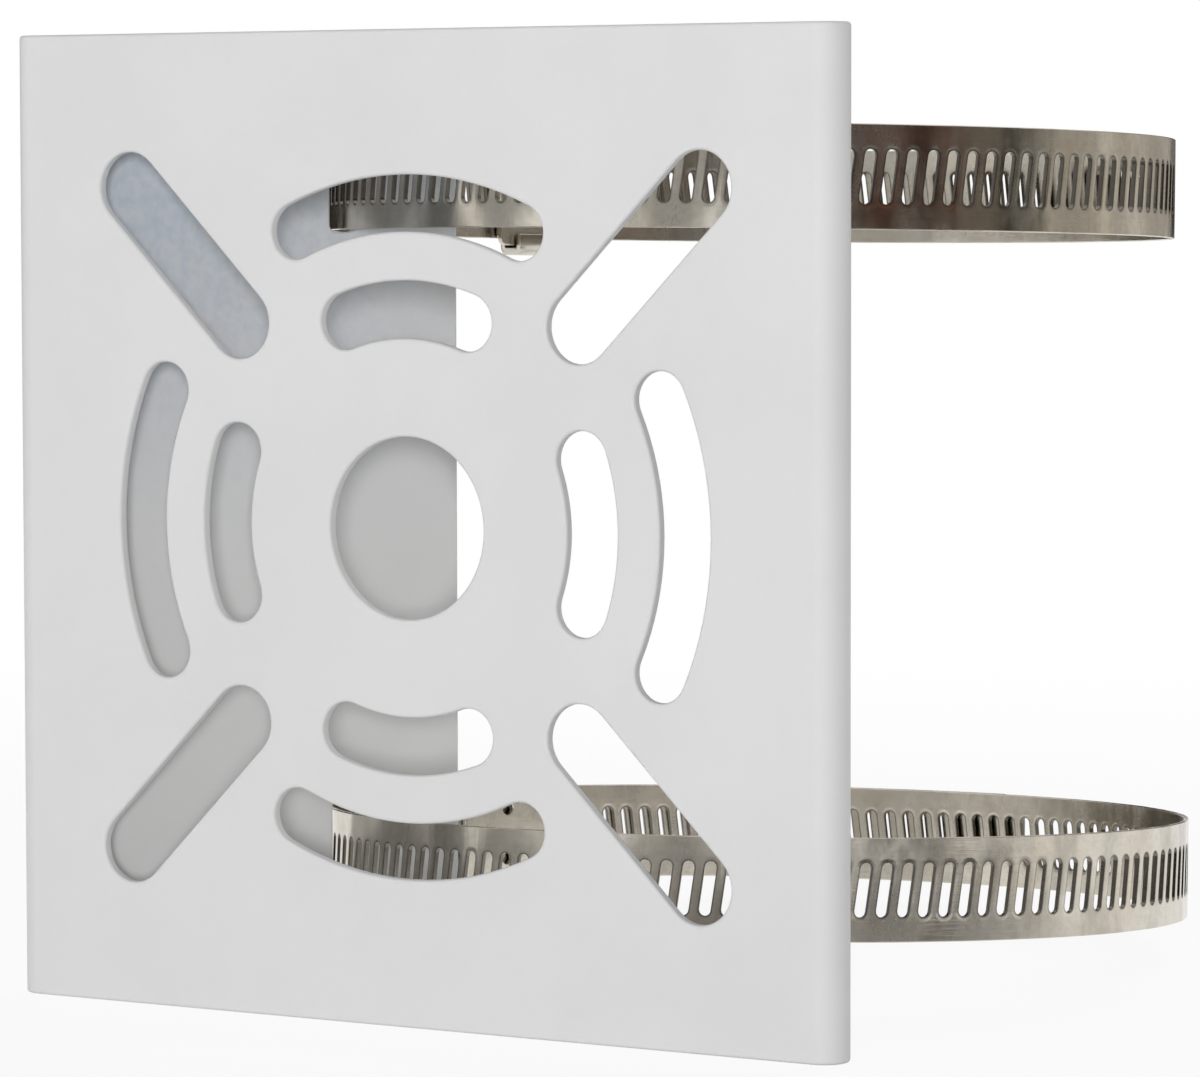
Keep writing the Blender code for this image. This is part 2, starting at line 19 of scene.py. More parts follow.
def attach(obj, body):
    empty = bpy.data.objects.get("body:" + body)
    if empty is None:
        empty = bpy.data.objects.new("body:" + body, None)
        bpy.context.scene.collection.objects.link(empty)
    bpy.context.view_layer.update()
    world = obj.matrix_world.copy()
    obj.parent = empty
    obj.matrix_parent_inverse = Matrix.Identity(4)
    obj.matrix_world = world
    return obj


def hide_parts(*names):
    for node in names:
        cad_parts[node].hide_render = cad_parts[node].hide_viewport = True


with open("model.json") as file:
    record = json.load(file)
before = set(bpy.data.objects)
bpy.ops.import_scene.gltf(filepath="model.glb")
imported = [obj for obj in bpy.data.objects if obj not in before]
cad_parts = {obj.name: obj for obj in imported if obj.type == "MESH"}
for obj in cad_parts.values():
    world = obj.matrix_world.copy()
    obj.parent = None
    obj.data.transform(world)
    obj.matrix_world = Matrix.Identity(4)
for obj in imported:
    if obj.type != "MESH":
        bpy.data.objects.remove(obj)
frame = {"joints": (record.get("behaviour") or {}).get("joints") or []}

LOG = logging.getLogger("pole_mount_bracket")
MILLI = 0.001
WELD = 2e-7
QUARTER = math.pi / 2
UP = np.array([0.0, 0.0, 1.0])

# The triangulation keeps what lies inside its outline, and joins corners nearer than this in millimetres
KEEP_INSIDE = 1
TOUCHING = 1e-6

# Names of the map and the value that the finishes read from a piece, and kinds of a group's sockets
STRIP_MAP = "strip"
SIDE_VALUE = "sheet_side"
FLOAT = "NodeSocketFloat"
VECTOR = "NodeSocketVector"
WHITE = (1.0, 1.0, 1.0, 1.0)
BLACK = (0.004, 0.003, 0.002)

# Noise of every cloudy patch, and the span of its height from a finish's smoothest to its roughest
NOISE_DETAIL = 5.0
NOISE_ROUGHNESS = 0.6
HEIGHT_SPAN = (0.3, 0.7)

Pair = tuple[float, float]
Triple = tuple[float, float, float]
Socket = bpy.types.NodeSocket


class Slot(Enum):
    """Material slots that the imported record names."""

    COAT = "coated_sheet"
    STRIP = "stainless_strip"
    SCREW = "plated_screw"


# Surfaces


def rays(angle: np.ndarray) -> np.ndarray:
    """Unit vectors (cos a, sin a, 0), one for each angle a."""
    return np.stack([np.cos(angle), np.sin(angle), 0 * angle], axis=1)


def grid_faces(rows: int, columns: int, closed: bool = False) -> np.ndarray:
    """Quads between neighbouring points of a grid that is numbered row by row.

    Args:
        rows: Number of rows.
        columns: Number of columns.
        closed: Whether the last column is joined to the first.

    Returns:
        Array of four point numbers for each face.
    """
    number = np.arange(rows * columns).reshape(rows, columns)
    if closed:
        number = np.concatenate([number, number[:, :1]], axis=1)
    corners = (number[:-1, :-1], number[:-1, 1:], number[1:, 1:], number[1:, :-1])
    return np.stack([corner.ravel() for corner in corners], axis=1)


def new_mesh(name: str, points: np.ndarray, faces: list[np.ndarray]) -> bpy.types.Mesh:
    """Writes points and faces to a new mesh.

    Args:
        name: Name of the mesh.
        points: Its points.
        faces: Arrays of point numbers, with a row for each face.

    Returns:
        The mesh.
    """
    mesh = bpy.data.meshes.new(name)
    mesh.from_pydata(points.tolist(), [], [row for rows in faces for row in rows.tolist()])
    return mesh


def new_object(name: str, data: bpy.types.ID) -> bpy.types.Object:
    """Puts a mesh, a lamp or a camera in the scene.

    Args:
        name: Name of the object.
        data: What the object shows.

    Returns:
        The object, at the origin.
    """
    made = bpy.data.objects.new(name, data)
    bpy.context.scene.collection.objects.link(made)
    return made


@dataclass
class Patch:
    """One stretch of surface: its points, their normals, their place on the flat blank and its faces.

    A place on the blank is (along, up), and its third value is the side: 1 on the outer face of the
    sheet and 0 on the inner one.
    """

    points: np.ndarray
    normals: np.ndarray
    blank: np.ndarray
    faces: list[np.ndarray]

    @staticmethod
    def bare(points: np.ndarray, blank: np.ndarray, faces: list[np.ndarray]) -> "Patch":
        """Patch that modifiers finish, so that it needs no normals: its points stand in for them."""
        return Patch(points, points, blank, faces)

    @staticmethod
    def joined(patches: list["Patch"]) -> "Patch":
        """Puts patches one after the other in one set of arrays.

        Args:
            patches: The patches to join.

        Returns:
            One patch that holds them all, not yet welded.
        """
        starts = np.cumsum([0] + [len(patch.points) for patch in patches[:-1]])
        faces = [rows + start for patch, start in zip(patches, starts) for rows in patch.faces]
        return Patch(
            np.concatenate([patch.points for patch in patches]),
            np.concatenate([patch.normals for patch in patches]),
            np.concatenate([patch.blank for patch in patches]),
            faces,
        )

    def carried(self, points: np.ndarray, ahead: np.ndarray, outward: np.ndarray) -> "Patch":
        """Lays the patch along a bent middle surface.

        A normal (a, b, c) of the flat patch becomes a * ahead + b * up + c * outward.

        Args:
            points: Its points once bent.
            ahead: Direction at each point that the blank's length now has.
            outward: Direction at each point out of the bent sheet.

        Returns:
            The bent patch.
        """
        across, upward, proud = (column[:, None] for column in self.normals.T)
        return replace(self, points=points, normals=across * ahead + upward * UP + proud * outward)

    def welded(self) -> "Patch":
        """Makes one point of points that lie together, and a triangle of a quad that loses a side.

        Returns:
            The patch without doubled points and without faces that have shrunk to nothing.
        """
        keys = np.round(self.points / WELD).astype(np.int64)
        _, first, where = np.unique(keys, axis=0, return_index=True, return_inverse=True)
        where = where.reshape(-1)
        kept = []
        for rows in self.faces:
            rows = where[rows]
            whole = (np.diff(np.sort(rows, axis=1), axis=1) > 0).all(axis=1)
            kept.append(rows[whole])
            twin = rows == np.roll(rows, -1, axis=1)
            short = twin.sum(axis=1) == 1
            if rows.shape[1] == 4 and short.any():
                kept.append(rows[short][~twin[short]].reshape(-1, 3))
        return Patch(self.points[first], self.normals[first], self.blank[first], kept)

    def closed_out(self) -> "Patch":
        """Turns a closed surface round if it holds a negative volume.

        Six times the volume is the sum of a . (b x c) over its triangles (a, b, c).

        Returns:
            The surface with its faces pointing outwards.
        """
        volume = 0.0
        for rows in self.faces:
            a, b, c, d = (self.points[rows[:, corner]] for corner in (0, 1, 2, -1))
            volume += (a * (np.cross(b, c) + np.cross(c, d))).sum()
        return self if volume > 0 else replace(self, faces=[rows[:, ::-1] for rows in self.faces])

    def facing_out(self) -> "Patch":
        """Turns round each face whose winding goes against its points' normals.

        Returns:
            The patch with each face pointing along its normals.
        """
        turned = []
        for rows in self.faces:
            corner = self.points[rows]
            winding = np.cross(corner[:, 1] - corner[:, 0], corner[:, -1] - corner[:, 0])
            wrong = (winding * self.normals[rows].sum(axis=1)).sum(axis=1) < 0
            rows = rows.copy()
            rows[wrong] = rows[wrong][:, ::-1]
            turned.append(rows)
        return replace(self, faces=turned)

    def rough_piece(self, name: str) -> bpy.types.Object:
        """Writes the patch to a new object, with its place on the blank as its map.

        Args:
            name: Name of the piece.

        Returns:
            The new object, which modifiers are still to finish.
        """
        mesh = new_mesh(name, self.points, self.faces)
        corners = np.empty(len(mesh.loops), dtype=np.int32)
        mesh.loops.foreach_get("vertex_index", corners)
        layer = mesh.uv_layers.new(name=STRIP_MAP)
        layer.data.foreach_set("uv", self.blank[corners, :2].astype(np.float32).ravel())
        return new_object(name, mesh)

    def sheet_piece(self, name: str) -> bpy.types.Object:
        """Welds the patch and writes it to an object that is shaded with the patch's own normals.

        Args:
            name: Name of the piece.

        Returns:
            The finished piece.
        """
        whole = self.welded().facing_out()
        piece = whole.rough_piece(name)
        side = piece.data.attributes.new(SIDE_VALUE, "FLOAT", "POINT")
        side.data.foreach_set("value", whole.blank[:, 2].astype(np.float32))
        piece.data.shade_smooth()
        piece.data.normals_split_custom_set_from_vertices(whole.normals.tolist())
        piece.data.validate(clean_customdata=False)
        return piece


@dataclass
class Outline:
    """Outline on the flat blank: its points and, at each, the direction into the sheet."""

    points: np.ndarray
    inward: np.ndarray

    @staticmethod
    def joined(parts: list["Outline"]) -> "Outline":
        """One outline that runs through the parts in order."""
        points = np.concatenate([part.points for part in parts])
        return Outline(points, np.concatenate([part.inward for part in parts]))

    @staticmethod
    def arc(centre: Pair, radius: float, start: float, turn: float, steps: int,
            hole: bool = True) -> "Outline":
        """Arc of centre + radius * (cos a, sin a), where a runs from start through turn.

        Args:
            centre: Centre of the arc.
            radius: Its radius.
            start: Angle of its first point.
            turn: Angle that it turns through.
            steps: Number of steps along it.
            hole: True if the sheet lies outside the arc's circle.

        Returns:
            The arc with both of its ends.
        """
        ray = rays(start + turn * np.linspace(0.0, 1.0, steps + 1))[:, :2]
        return Outline(np.array(centre) + radius * ray, ray if hole else -ray)

    @staticmethod
    def circle(centre: Pair, radius: float, steps: int) -> "Outline":
        """Round hole."""
        return Outline.arc(centre, radius, 0.0, 4 * QUARTER, steps).cut(0, -1)

    @staticmethod
    def stadium(centre: Pair, angle: float, straight: float, width: float, steps: int) -> "Outline":
        """Slot with round ends: two half circles whose centres are a straight run apart.

        Args:
            centre: Middle of the slot.
            angle: Direction of its length.
            straight: Distance between the centres of its ends.
            width: Its width.
            steps: Steps round each end.

        Returns:
            The slot's outline.
        """
        ray = np.array([math.cos(angle), math.sin(angle)]) * straight / 2
        ends = []
        for side in (1, -1):
            middle = tuple(np.array(centre) + side * ray)
            ends.append(Outline.arc(middle, width / 2, angle - side * QUARTER, 2 * QUARTER, steps))
        return Outline.joined(ends)

    @staticmethod
    def arc_slot(centre: Pair, radius: float, width: float, middle: float, half_angle: float,
                 steps: int) -> "Outline":
        """Slot that is curved round a centre: an outer arc, a round end, an inner arc, a round end.

        Args:
            centre: Point that the slot is curved round.
            radius: Radius of the slot's middle line.
            width: Its width.
            middle: Direction of its middle from the centre.
            half_angle: Half of the angle between the centres of its ends.
            steps: Steps along each arc.

        Returns:
            The slot's outline.
        """
        low, high = middle - half_angle, middle + half_angle
        outer = Outline.arc(centre, radius + width / 2, low, 2 * half_angle, steps)
        inner = Outline.arc(centre, radius - width / 2, high, -2 * half_angle, steps, hole=False)
        caps = []
        for angle, start in ((high, high), (low, low + 2 * QUARTER)):
            place = (centre[0] + radius * math.cos(angle), centre[1] + radius * math.sin(angle))
            caps.append(Outline.arc(place, width / 2, start, 2 * QUARTER, steps).cut(1, -1))
        return Outline.joined([outer, caps[0], inner, caps[1]])

    @staticmethod
    def rectangle(low: Pair, high: Pair, corner: float, steps: int, hole: bool,
                  splits: int = 0) -> "Outline":
        """Rectangle with rounded corners, as a hole or as the sheet's own edge.

        Args:
            low: Its lower left corner.
            high: Its upper right corner.
            corner: Radius of its corners.
            steps: Steps round each corner.
            hole: True if the sheet lies outside it.
            splits: Points added along its upper and lower sides.

        Returns:
            The rectangle's outline, run anticlockwise.
        """
        parts = []
        for index, (across, upward) in enumerate(((-1, -1), (1, -1), (1, 1), (-1, 1))):
            x = high[0] if across < 0 else low[0]
            y = high[1] if upward < 0 else low[1]
            centre = (x + across * corner, y + upward * corner)
            parts.append(Outline.arc(centre, corner, index * QUARTER, QUARTER, steps, hole))
            if splits and across == upward:
                start, inward = parts[-1].points[-1], parts[-1].inward[-1:]
                run = np.array([across * (high[0] - low[0] - 2 * corner), 0.0])
                share = np.linspace(0.0, 1.0, splits + 2)[1:-1, None]
                parts.append(Outline(start + run * share, np.repeat(inward, splits, axis=0)))
        return Outline.joined(parts)

    def cut(self, start: int, stop: int) -> "Outline":
        """Stretch of the outline between two point numbers."""
        return Outline(self.points[start:stop], self.inward[start:stop])

    def backwards(self) -> "Outline":
        """The same outline, run the other way."""
        return Outline(self.points[::-1], self.inward[::-1])

    def inset(self, distance: float) -> np.ndarray:
        """Points of the outline moved into the sheet."""
        return self.points + distance * self.inward


def encloses(loop: np.ndarray, places: np.ndarray) -> np.ndarray:
    """Which places lie inside a closed loop.

    A ray to the right of a place crosses the loop an odd number of times if the place is inside.

    Args:
        loop: Points of the loop.
        places: Points to test.

    Returns:
        True or False for each place.
    """
    after = np.roll(loop, -1, axis=0)
    x, y = places[:, :1], places[:, 1:]
    spans = (loop[:, 1] > y) != (after[:, 1] > y)
    rise = np.where(after[:, 1] == loop[:, 1], 1.0, after[:, 1] - loop[:, 1])
    crossing = loop[:, 0] + (y - loop[:, 1]) * (after[:, 0] - loop[:, 0]) / rise
    return (spans & (crossing > x)).sum(axis=1) % 2 == 1


@dataclass(frozen=True)
class SheetEdge:
    """Cut edge of a sheet: its two rims are rounded and the wall between them is straight."""

    thickness: float
    rounding: float
    steps: int = 3

    def rim(self, outline: Outline) -> Patch:
        """Carries the edge's profile along an outline.

        The profile goes down a quarter circle from the outer face, along the wall, and round a second
        quarter circle to the inner face: inset = r (1 - sin a), out = T / 2 - r (1 - cos a).

        Args:
            outline: Closed outline that the edge follows.

        Returns:
            The rim in the blank's space.
        """
        angle = np.linspace(0.0, QUARTER, self.steps + 1)
        inset = self.rounding * (1 - np.sin(angle))
        out = self.thickness / 2 - self.rounding * (1 - np.cos(angle))
        inset = np.concatenate([inset, inset[::-1]])[:, None, None]
        out = np.concatenate([out, -out[::-1]])
        lean = np.concatenate([-np.sin(angle), -np.sin(angle[::-1])])[:, None, None]
        rise = np.concatenate([np.cos(angle), -np.cos(angle[::-1])])
        rows, columns = len(out), len(outline.points)
        flat = outline.points + inset * outline.inward
        points = np.dstack([flat, np.repeat(out[:, None], columns, axis=1)]).reshape(-1, 3)
        normals = np.dstack([lean * outline.inward, np.repeat(rise[:, None], columns, axis=1)])
        blank = points * (1, 1, 1 / self.thickness) + (0, 0, 0.5)
        return Patch(points, normals.reshape(-1, 3), blank, [grid_faces(rows, columns, closed=True)])

    def faces(self, outer: np.ndarray, holes: list[np.ndarray]) -> Patch:
        """Fills the region inside an outline and outside some holes, on both faces of the sheet.

        Args:
            outer: Points of the region's outline.
            holes: Points of each hole's outline.

        Returns:
            Both faces in the blank's space.
        """
        loops = [outer] + holes
        flat = np.concatenate(loops)
        starts = np.cumsum([0] + [len(loop) for loop in loops[:-1]])
        edges = []
        for loop, start in zip(loops, starts):
            number = start + np.arange(len(loop))
            edges += np.stack([number, np.roll(number, -1)], axis=1).tolist()
        corners = [Vector(pair) for pair in (flat / MILLI).tolist()]
        _, _, made, sources, _, _ = delaunay_2d_cdt(corners, edges, [], KEEP_INSIDE, TOUCHING)
        triangles = np.array([numbers[0] for numbers in sources])[np.array(made)]
        middle = flat[triangles].mean(axis=1)
        for hole in holes:
            outside = ~encloses(hole, middle)
            triangles, middle = triangles[outside], middle[outside]
        return self.both_faces(flat, triangles)

    def both_faces(self, flat: np.ndarray, rows: np.ndarray) -> Patch:
        """Lays the same flat faces on the outer and the inner face of the sheet.

        Args:
            flat: Points on the blank.
            rows: Point numbers of each face.

        Returns:
            Both faces in the blank's space.
        """
        sides = []
        for side in (1, -1):
            out = np.full((len(flat), 1), side * self.thickness / 2)
            normals = np.repeat([[0.0, 0.0, float(side)]], len(flat), axis=0)
            blank = np.hstack([flat, out / self.thickness + 0.5])
            sides.append(Patch(np.hstack([flat, out]), normals, blank, [rows]))
        return Patch.joined(sides)


# Finishes


@dataclass(frozen=True)
class Clouds:
    """Soft patches: how fine they are, the noise levels they fade between, and their stretch."""

    scale: float
    low: float = 0.40
    high: float = 0.60
    stretch: Triple = (1.0, 1.0, 1.0)
    shift: float = 0.0


@dataclass(frozen=True)
class Bench:
    """A node tree with short ways to add the nodes that the finishes use."""

    tree: bpy.types.NodeTree

    def add(self, kind: str, values: dict[str | int, object] | None = None,
            **settings: object) -> bpy.types.ShaderNode:
        """Adds a node.

        Args:
            kind: The node's type.
            values: Values or linked sockets of its inputs.
            **settings: Its properties, set before its inputs.

        Returns:
            The node.
        """
        made = self.tree.nodes.new(kind)
        for key, value in settings.items():
            setattr(made, key, value)
        for key, value in (values or {}).items():
            if isinstance(value, Socket):
                self.tree.links.new(value, made.inputs[key])
            else:
                made.inputs[key].default_value = value
        return made

    def maths(self, operation: str, first: object, second: object = 0.0) -> Socket:
        """Result of one arithmetic operation on two values."""
        return self.add("ShaderNodeMath", {0: first, 1: second}, operation=operation).outputs[0]

    def times(self, first: object, second: object) -> Socket:
        """Product of two values."""
        return self.maths("MULTIPLY", first, second)

    def plus(self, first: object, second: object) -> Socket:
        """Sum of two values."""
        return self.maths("ADD", first, second)

    def minus(self, first: object, second: object) -> Socket:
        """First value less the second."""
        return self.maths("SUBTRACT", first, second)

    def ramp(self, value: Socket, span: tuple[object, object], to: Pair = (0.0, 1.0)) -> Socket:
        """Smoothly maps a value from one span to another, and clamps it outside.

        Args:
            value: The value.
            span: What becomes the first and the second end of the new span.
            to: Ends of the new span.

        Returns:
            The mapped value.
        """
        values = {"Value": value, "From Min": span[0], "From Max": span[1], "To Min": to[0],
                  "To Max": to[1]}
        made = self.add("ShaderNodeMapRange", values, interpolation_type="SMOOTHSTEP")
        return made.outputs["Result"]

    def blend(self, mask: Socket, amount: float, first: Socket | Triple, second: Triple) -> Socket:
        """Mixes a second colour into a first one where a mask says so.

        Args:
            mask: Where the second colour goes, from 0 to 1.
            amount: How much of it goes there at most.
            first: Colour below.
            second: Colour above.

        Returns:
            The mixed colour.
        """
        share = self.times(mask, amount)
        base = first if isinstance(first, Socket) else (*first, 1.0)
        values = {0: share, 6: base, 7: (*second, 1.0)}
        return self.add("ShaderNodeMix", values, data_type="RGBA").outputs[2]

    def relief(self, layers: list[tuple[Socket, float]]) -> Socket:
        """Normal of several height patterns laid one over the other.

        Args:
            layers: Each pattern's height, from 0 to 1, and its depth in metres.

        Returns:
            The normal.
        """
        normal = None
        for height, depth in layers:
            values = {"Height": height, "Distance": depth, "Strength": 1.0}
            if normal is not None:
                values["Normal"] = normal
            normal = self.add("ShaderNodeBump", values).outputs["Normal"]
        return normal


@dataclass(frozen=True)
class Effect(Bench):
    """Shader node group: its tree and the nodes where its inputs come in and its outputs go out."""

    given: bpy.types.Node
    out: bpy.types.Node

    @staticmethod
    def named(name: str, inputs: dict[str, str], outputs: dict[str, str]) -> "Effect":
        """New group with named inputs and outputs.

        Args:
            name: Name of the group.
            inputs: Kind of socket of each input.
            outputs: Kind of socket of each output.

        Returns:
            The group, still empty.
        """
        tree = bpy.data.node_groups.new(name, "ShaderNodeTree")
        for in_out, sockets in (("INPUT", inputs), ("OUTPUT", outputs)):
            for label, kind in sockets.items():
                tree.interface.new_socket(name=label, in_out=in_out, socket_type=kind)
        return Effect(tree, tree.nodes.new("NodeGroupInput"), tree.nodes.new("NodeGroupOutput"))

    def put(self, socket: str, value: Socket) -> None:
        """Puts a value out of the group."""
        self.tree.links.new(value, self.out.inputs[socket])


def cloudy_patches() -> Effect:
    """Soft patches: noise over a vector, put out as a mask between two levels and as a height.

    Returns:
        The group.
    """
    inputs = {"Vector": VECTOR, "Scale": FLOAT, "Low": FLOAT, "High": FLOAT}
    effect = Effect.named("cloudy_patches", inputs, {"Mask": FLOAT, "Height": FLOAT})
    given = effect.given.outputs
    values = {"Vector": given["Vector"], "Scale": given["Scale"], "Detail": NOISE_DETAIL,
              "Roughness": NOISE_ROUGHNESS}
    noise = effect.add("ShaderNodeTexNoise", values).outputs["Fac"]
    effect.put("Mask", effect.ramp(noise, (given["Low"], given["High"])))
    effect.put("Height", noise)
    return effect


def nearest_slot() -> Effect:
    """Distance in metres from the edge of the nearest perforation, on the strip's flat coordinates.

    Shearing the strip by the slots' lean brings each slot's middle line upright, so the distance
    across the nearest one is h = (fraction(x / pitch) - 1/2) * pitch * cos(lean). Along the slot a
    point lies at s = up / cos(lean) - h * tan(lean), and past the centre of the round end by
    q = max(|s| - straight / 2, 0). The distance is hypot(h, q) less half the slot's width.

    Returns:
        The group.
    """
    names = ("First", "Pitch", "Lean", "Straight", "Width")
    inputs = {"Vector": VECTOR} | {name: FLOAT for name in names}
    effect = Effect.named("nearest_slot", inputs, {"Distance": FLOAT})
    maths, times, plus, minus = effect.maths, effect.times, effect.plus, effect.minus
    given = effect.given.outputs
    flat = effect.add("ShaderNodeSeparateXYZ", {0: given["Vector"]}).outputs
    slope, cosine = maths("TANGENT", given["Lean"]), maths("COSINE", given["Lean"])
    sheared = plus(flat["X"], times(flat["Y"], slope))
    count = maths("DIVIDE", minus(sheared, given["First"]), given["Pitch"])
    across = times(times(minus(maths("FRACT", count), 0.5), given["Pitch"]), cosine)
    along = minus(maths("DIVIDE", flat["Y"], cosine), times(across, slope))
    past = maths("MAXIMUM", minus(maths("ABSOLUTE", along), times(given["Straight"], 0.5)), 0.0)
    from_middle = maths("SQRT", plus(times(across, across), times(past, past)))
    effect.put("Distance", minus(from_middle, times(given["Width"], 0.5)))
    return effect


@dataclass(frozen=True)
class Paint(Bench):
    """A new material: its node tree and its Principled shader, which the effects feed."""

    material: bpy.types.Material
    shader: bpy.types.ShaderNode

    def feed(self, socket: str, value: Socket) -> None:
        """Feeds a value to an input of the shader."""
        self.tree.links.new(value, self.shader.inputs[socket])


@dataclass(frozen=True)
class Workshop:
    """Effects that the finishes share, built once."""

    patches: Effect = field(default_factory=cloudy_patches)
    slots: Effect = field(default_factory=nearest_slot)

    @staticmethod
    def paint(name: str, metallic: float) -> Paint:
        """Starts a material.

        Args:
            name: Name of the material.
            metallic: 1 for bare metal and 0 for paint.

        Returns:
            The material with its shader.
        """
        material = bpy.data.materials.new(name)
        material.use_nodes = True
        shader = material.node_tree.nodes["Principled BSDF"]
        shader.inputs["Metallic"].default_value = metallic
        return Paint(material.node_tree, material, shader)

    def cloud(self, paint: Paint, vector: Socket, clouds: Clouds,
              shift: float = 0.0) -> tuple[Socket, Socket]:
        """Adds one layer of patches to a material.

        Args:
            paint: The material.
            vector: Coordinates that the patches lie on.
            clouds: What the patches are like.
            shift: Shift to another part of the pattern, besides the patches' own.

        Returns:
            Mask and height of the patches.
        """
        place = (clouds.shift + shift, clouds.shift + shift, 0.0)
        values = {"Vector": vector, "Scale": clouds.stretch, "Location": place}
        moved = paint.add("ShaderNodeMapping", values).outputs[0]
        values = {"Vector": moved, "Scale": clouds.scale, "Low": clouds.low, "High": clouds.high}
        made = paint.add("ShaderNodeGroup", values, node_tree=self.patches.tree)
        return made.outputs["Mask"], made.outputs["Height"]


@dataclass(frozen=True)
class PowderCoat:
    """Satin light grey powder coat: faint orange peel and clouding, and painted shade on the sheet's
    inside.

    On the inner face, high up and towards the left bend, painted shade darkens the coat to a bluish
    grey in mottled patches.
    """

    colour: Triple = (0.690, 0.690, 0.690)
    shade: Triple = (0.668, 0.668, 0.668)
    # Colour of the painted shade high on the inner face
    painted_shade_colour: Triple = (0.46, 0.515, 0.59)
    roughness: Pair = (0.37, 0.48)
    specular: float = 0.40
    wide: Clouds = Clouds(34.0, 0.35, 0.68)
    speck: Clouds = Clouds(1500.0, 0.62, 0.80)
    mottle: Clouds = Clouds(650.0, 0.36, 0.66)
    peel: Clouds = Clouds(900.0)
    speck_share: float = 0.35
    painted_shade_share: float = 0.90
    mottle_share: float = 0.40
    peel_depth: float = 0.000030
    painted_shade_levels: Pair = (0.050, 0.100)
    painted_shade_across: Pair = (-0.018, -0.048)

    def painted_shade_mask(self, shop: Workshop, paint: Paint, place: Socket) -> Socket:
        """Mask of the painted shade on the inner face.

        Args:
            shop: Shared effects.
            paint: The material.
            place: Coordinates of the piece.

        Returns:
            1 where most zinc shows.
        """
        mottle, _ = shop.cloud(paint, place, self.mottle)
        side = paint.add("ShaderNodeAttribute", attribute_name=SIDE_VALUE).outputs["Fac"]
        level = paint.add("ShaderNodeSeparateXYZ", {0: place}).outputs
        high = paint.ramp(level["Z"], self.painted_shade_levels)
        outboard = paint.ramp(level["X"], self.painted_shade_across)
        shaded_area = paint.times(paint.minus(1.0, side), paint.times(high, outboard))
        patchy = paint.plus(1.0 - self.mottle_share, paint.times(mottle, self.mottle_share))
        return paint.times(shaded_area, patchy)

    def material(self, shop: Workshop) -> bpy.types.Material:
        """Builds the material.

        Args:
            shop: Shared effects.

        Returns:
            The material.
        """
        paint = shop.paint("light_grey_powder_coat", 0.0)
        paint.shader.inputs["Specular IOR Level"].default_value = self.specular
        place = paint.add("ShaderNodeTexCoord").outputs["Object"]
        wide, wide_height = shop.cloud(paint, place, self.wide)
        speck, _ = shop.cloud(paint, place, self.speck)
        _, peel = shop.cloud(paint, place, self.peel)
        tint = paint.blend(wide, 1.0, self.colour, self.shade)
        tint = paint.blend(speck, self.speck_share, tint, self.shade)
        # Painted shade: bluish grey mottled patches high on the inner face, towards the left bend
        tint = paint.blend(self.painted_shade_mask(shop, paint, place), self.painted_shade_share, tint, self.painted_shade_colour)
        paint.feed("Base Color", tint)
        paint.feed("Roughness", paint.ramp(wide_height, HEIGHT_SPAN, self.roughness))
        paint.feed("Normal", paint.relief([(peel, self.peel_depth)]))
        return paint.material


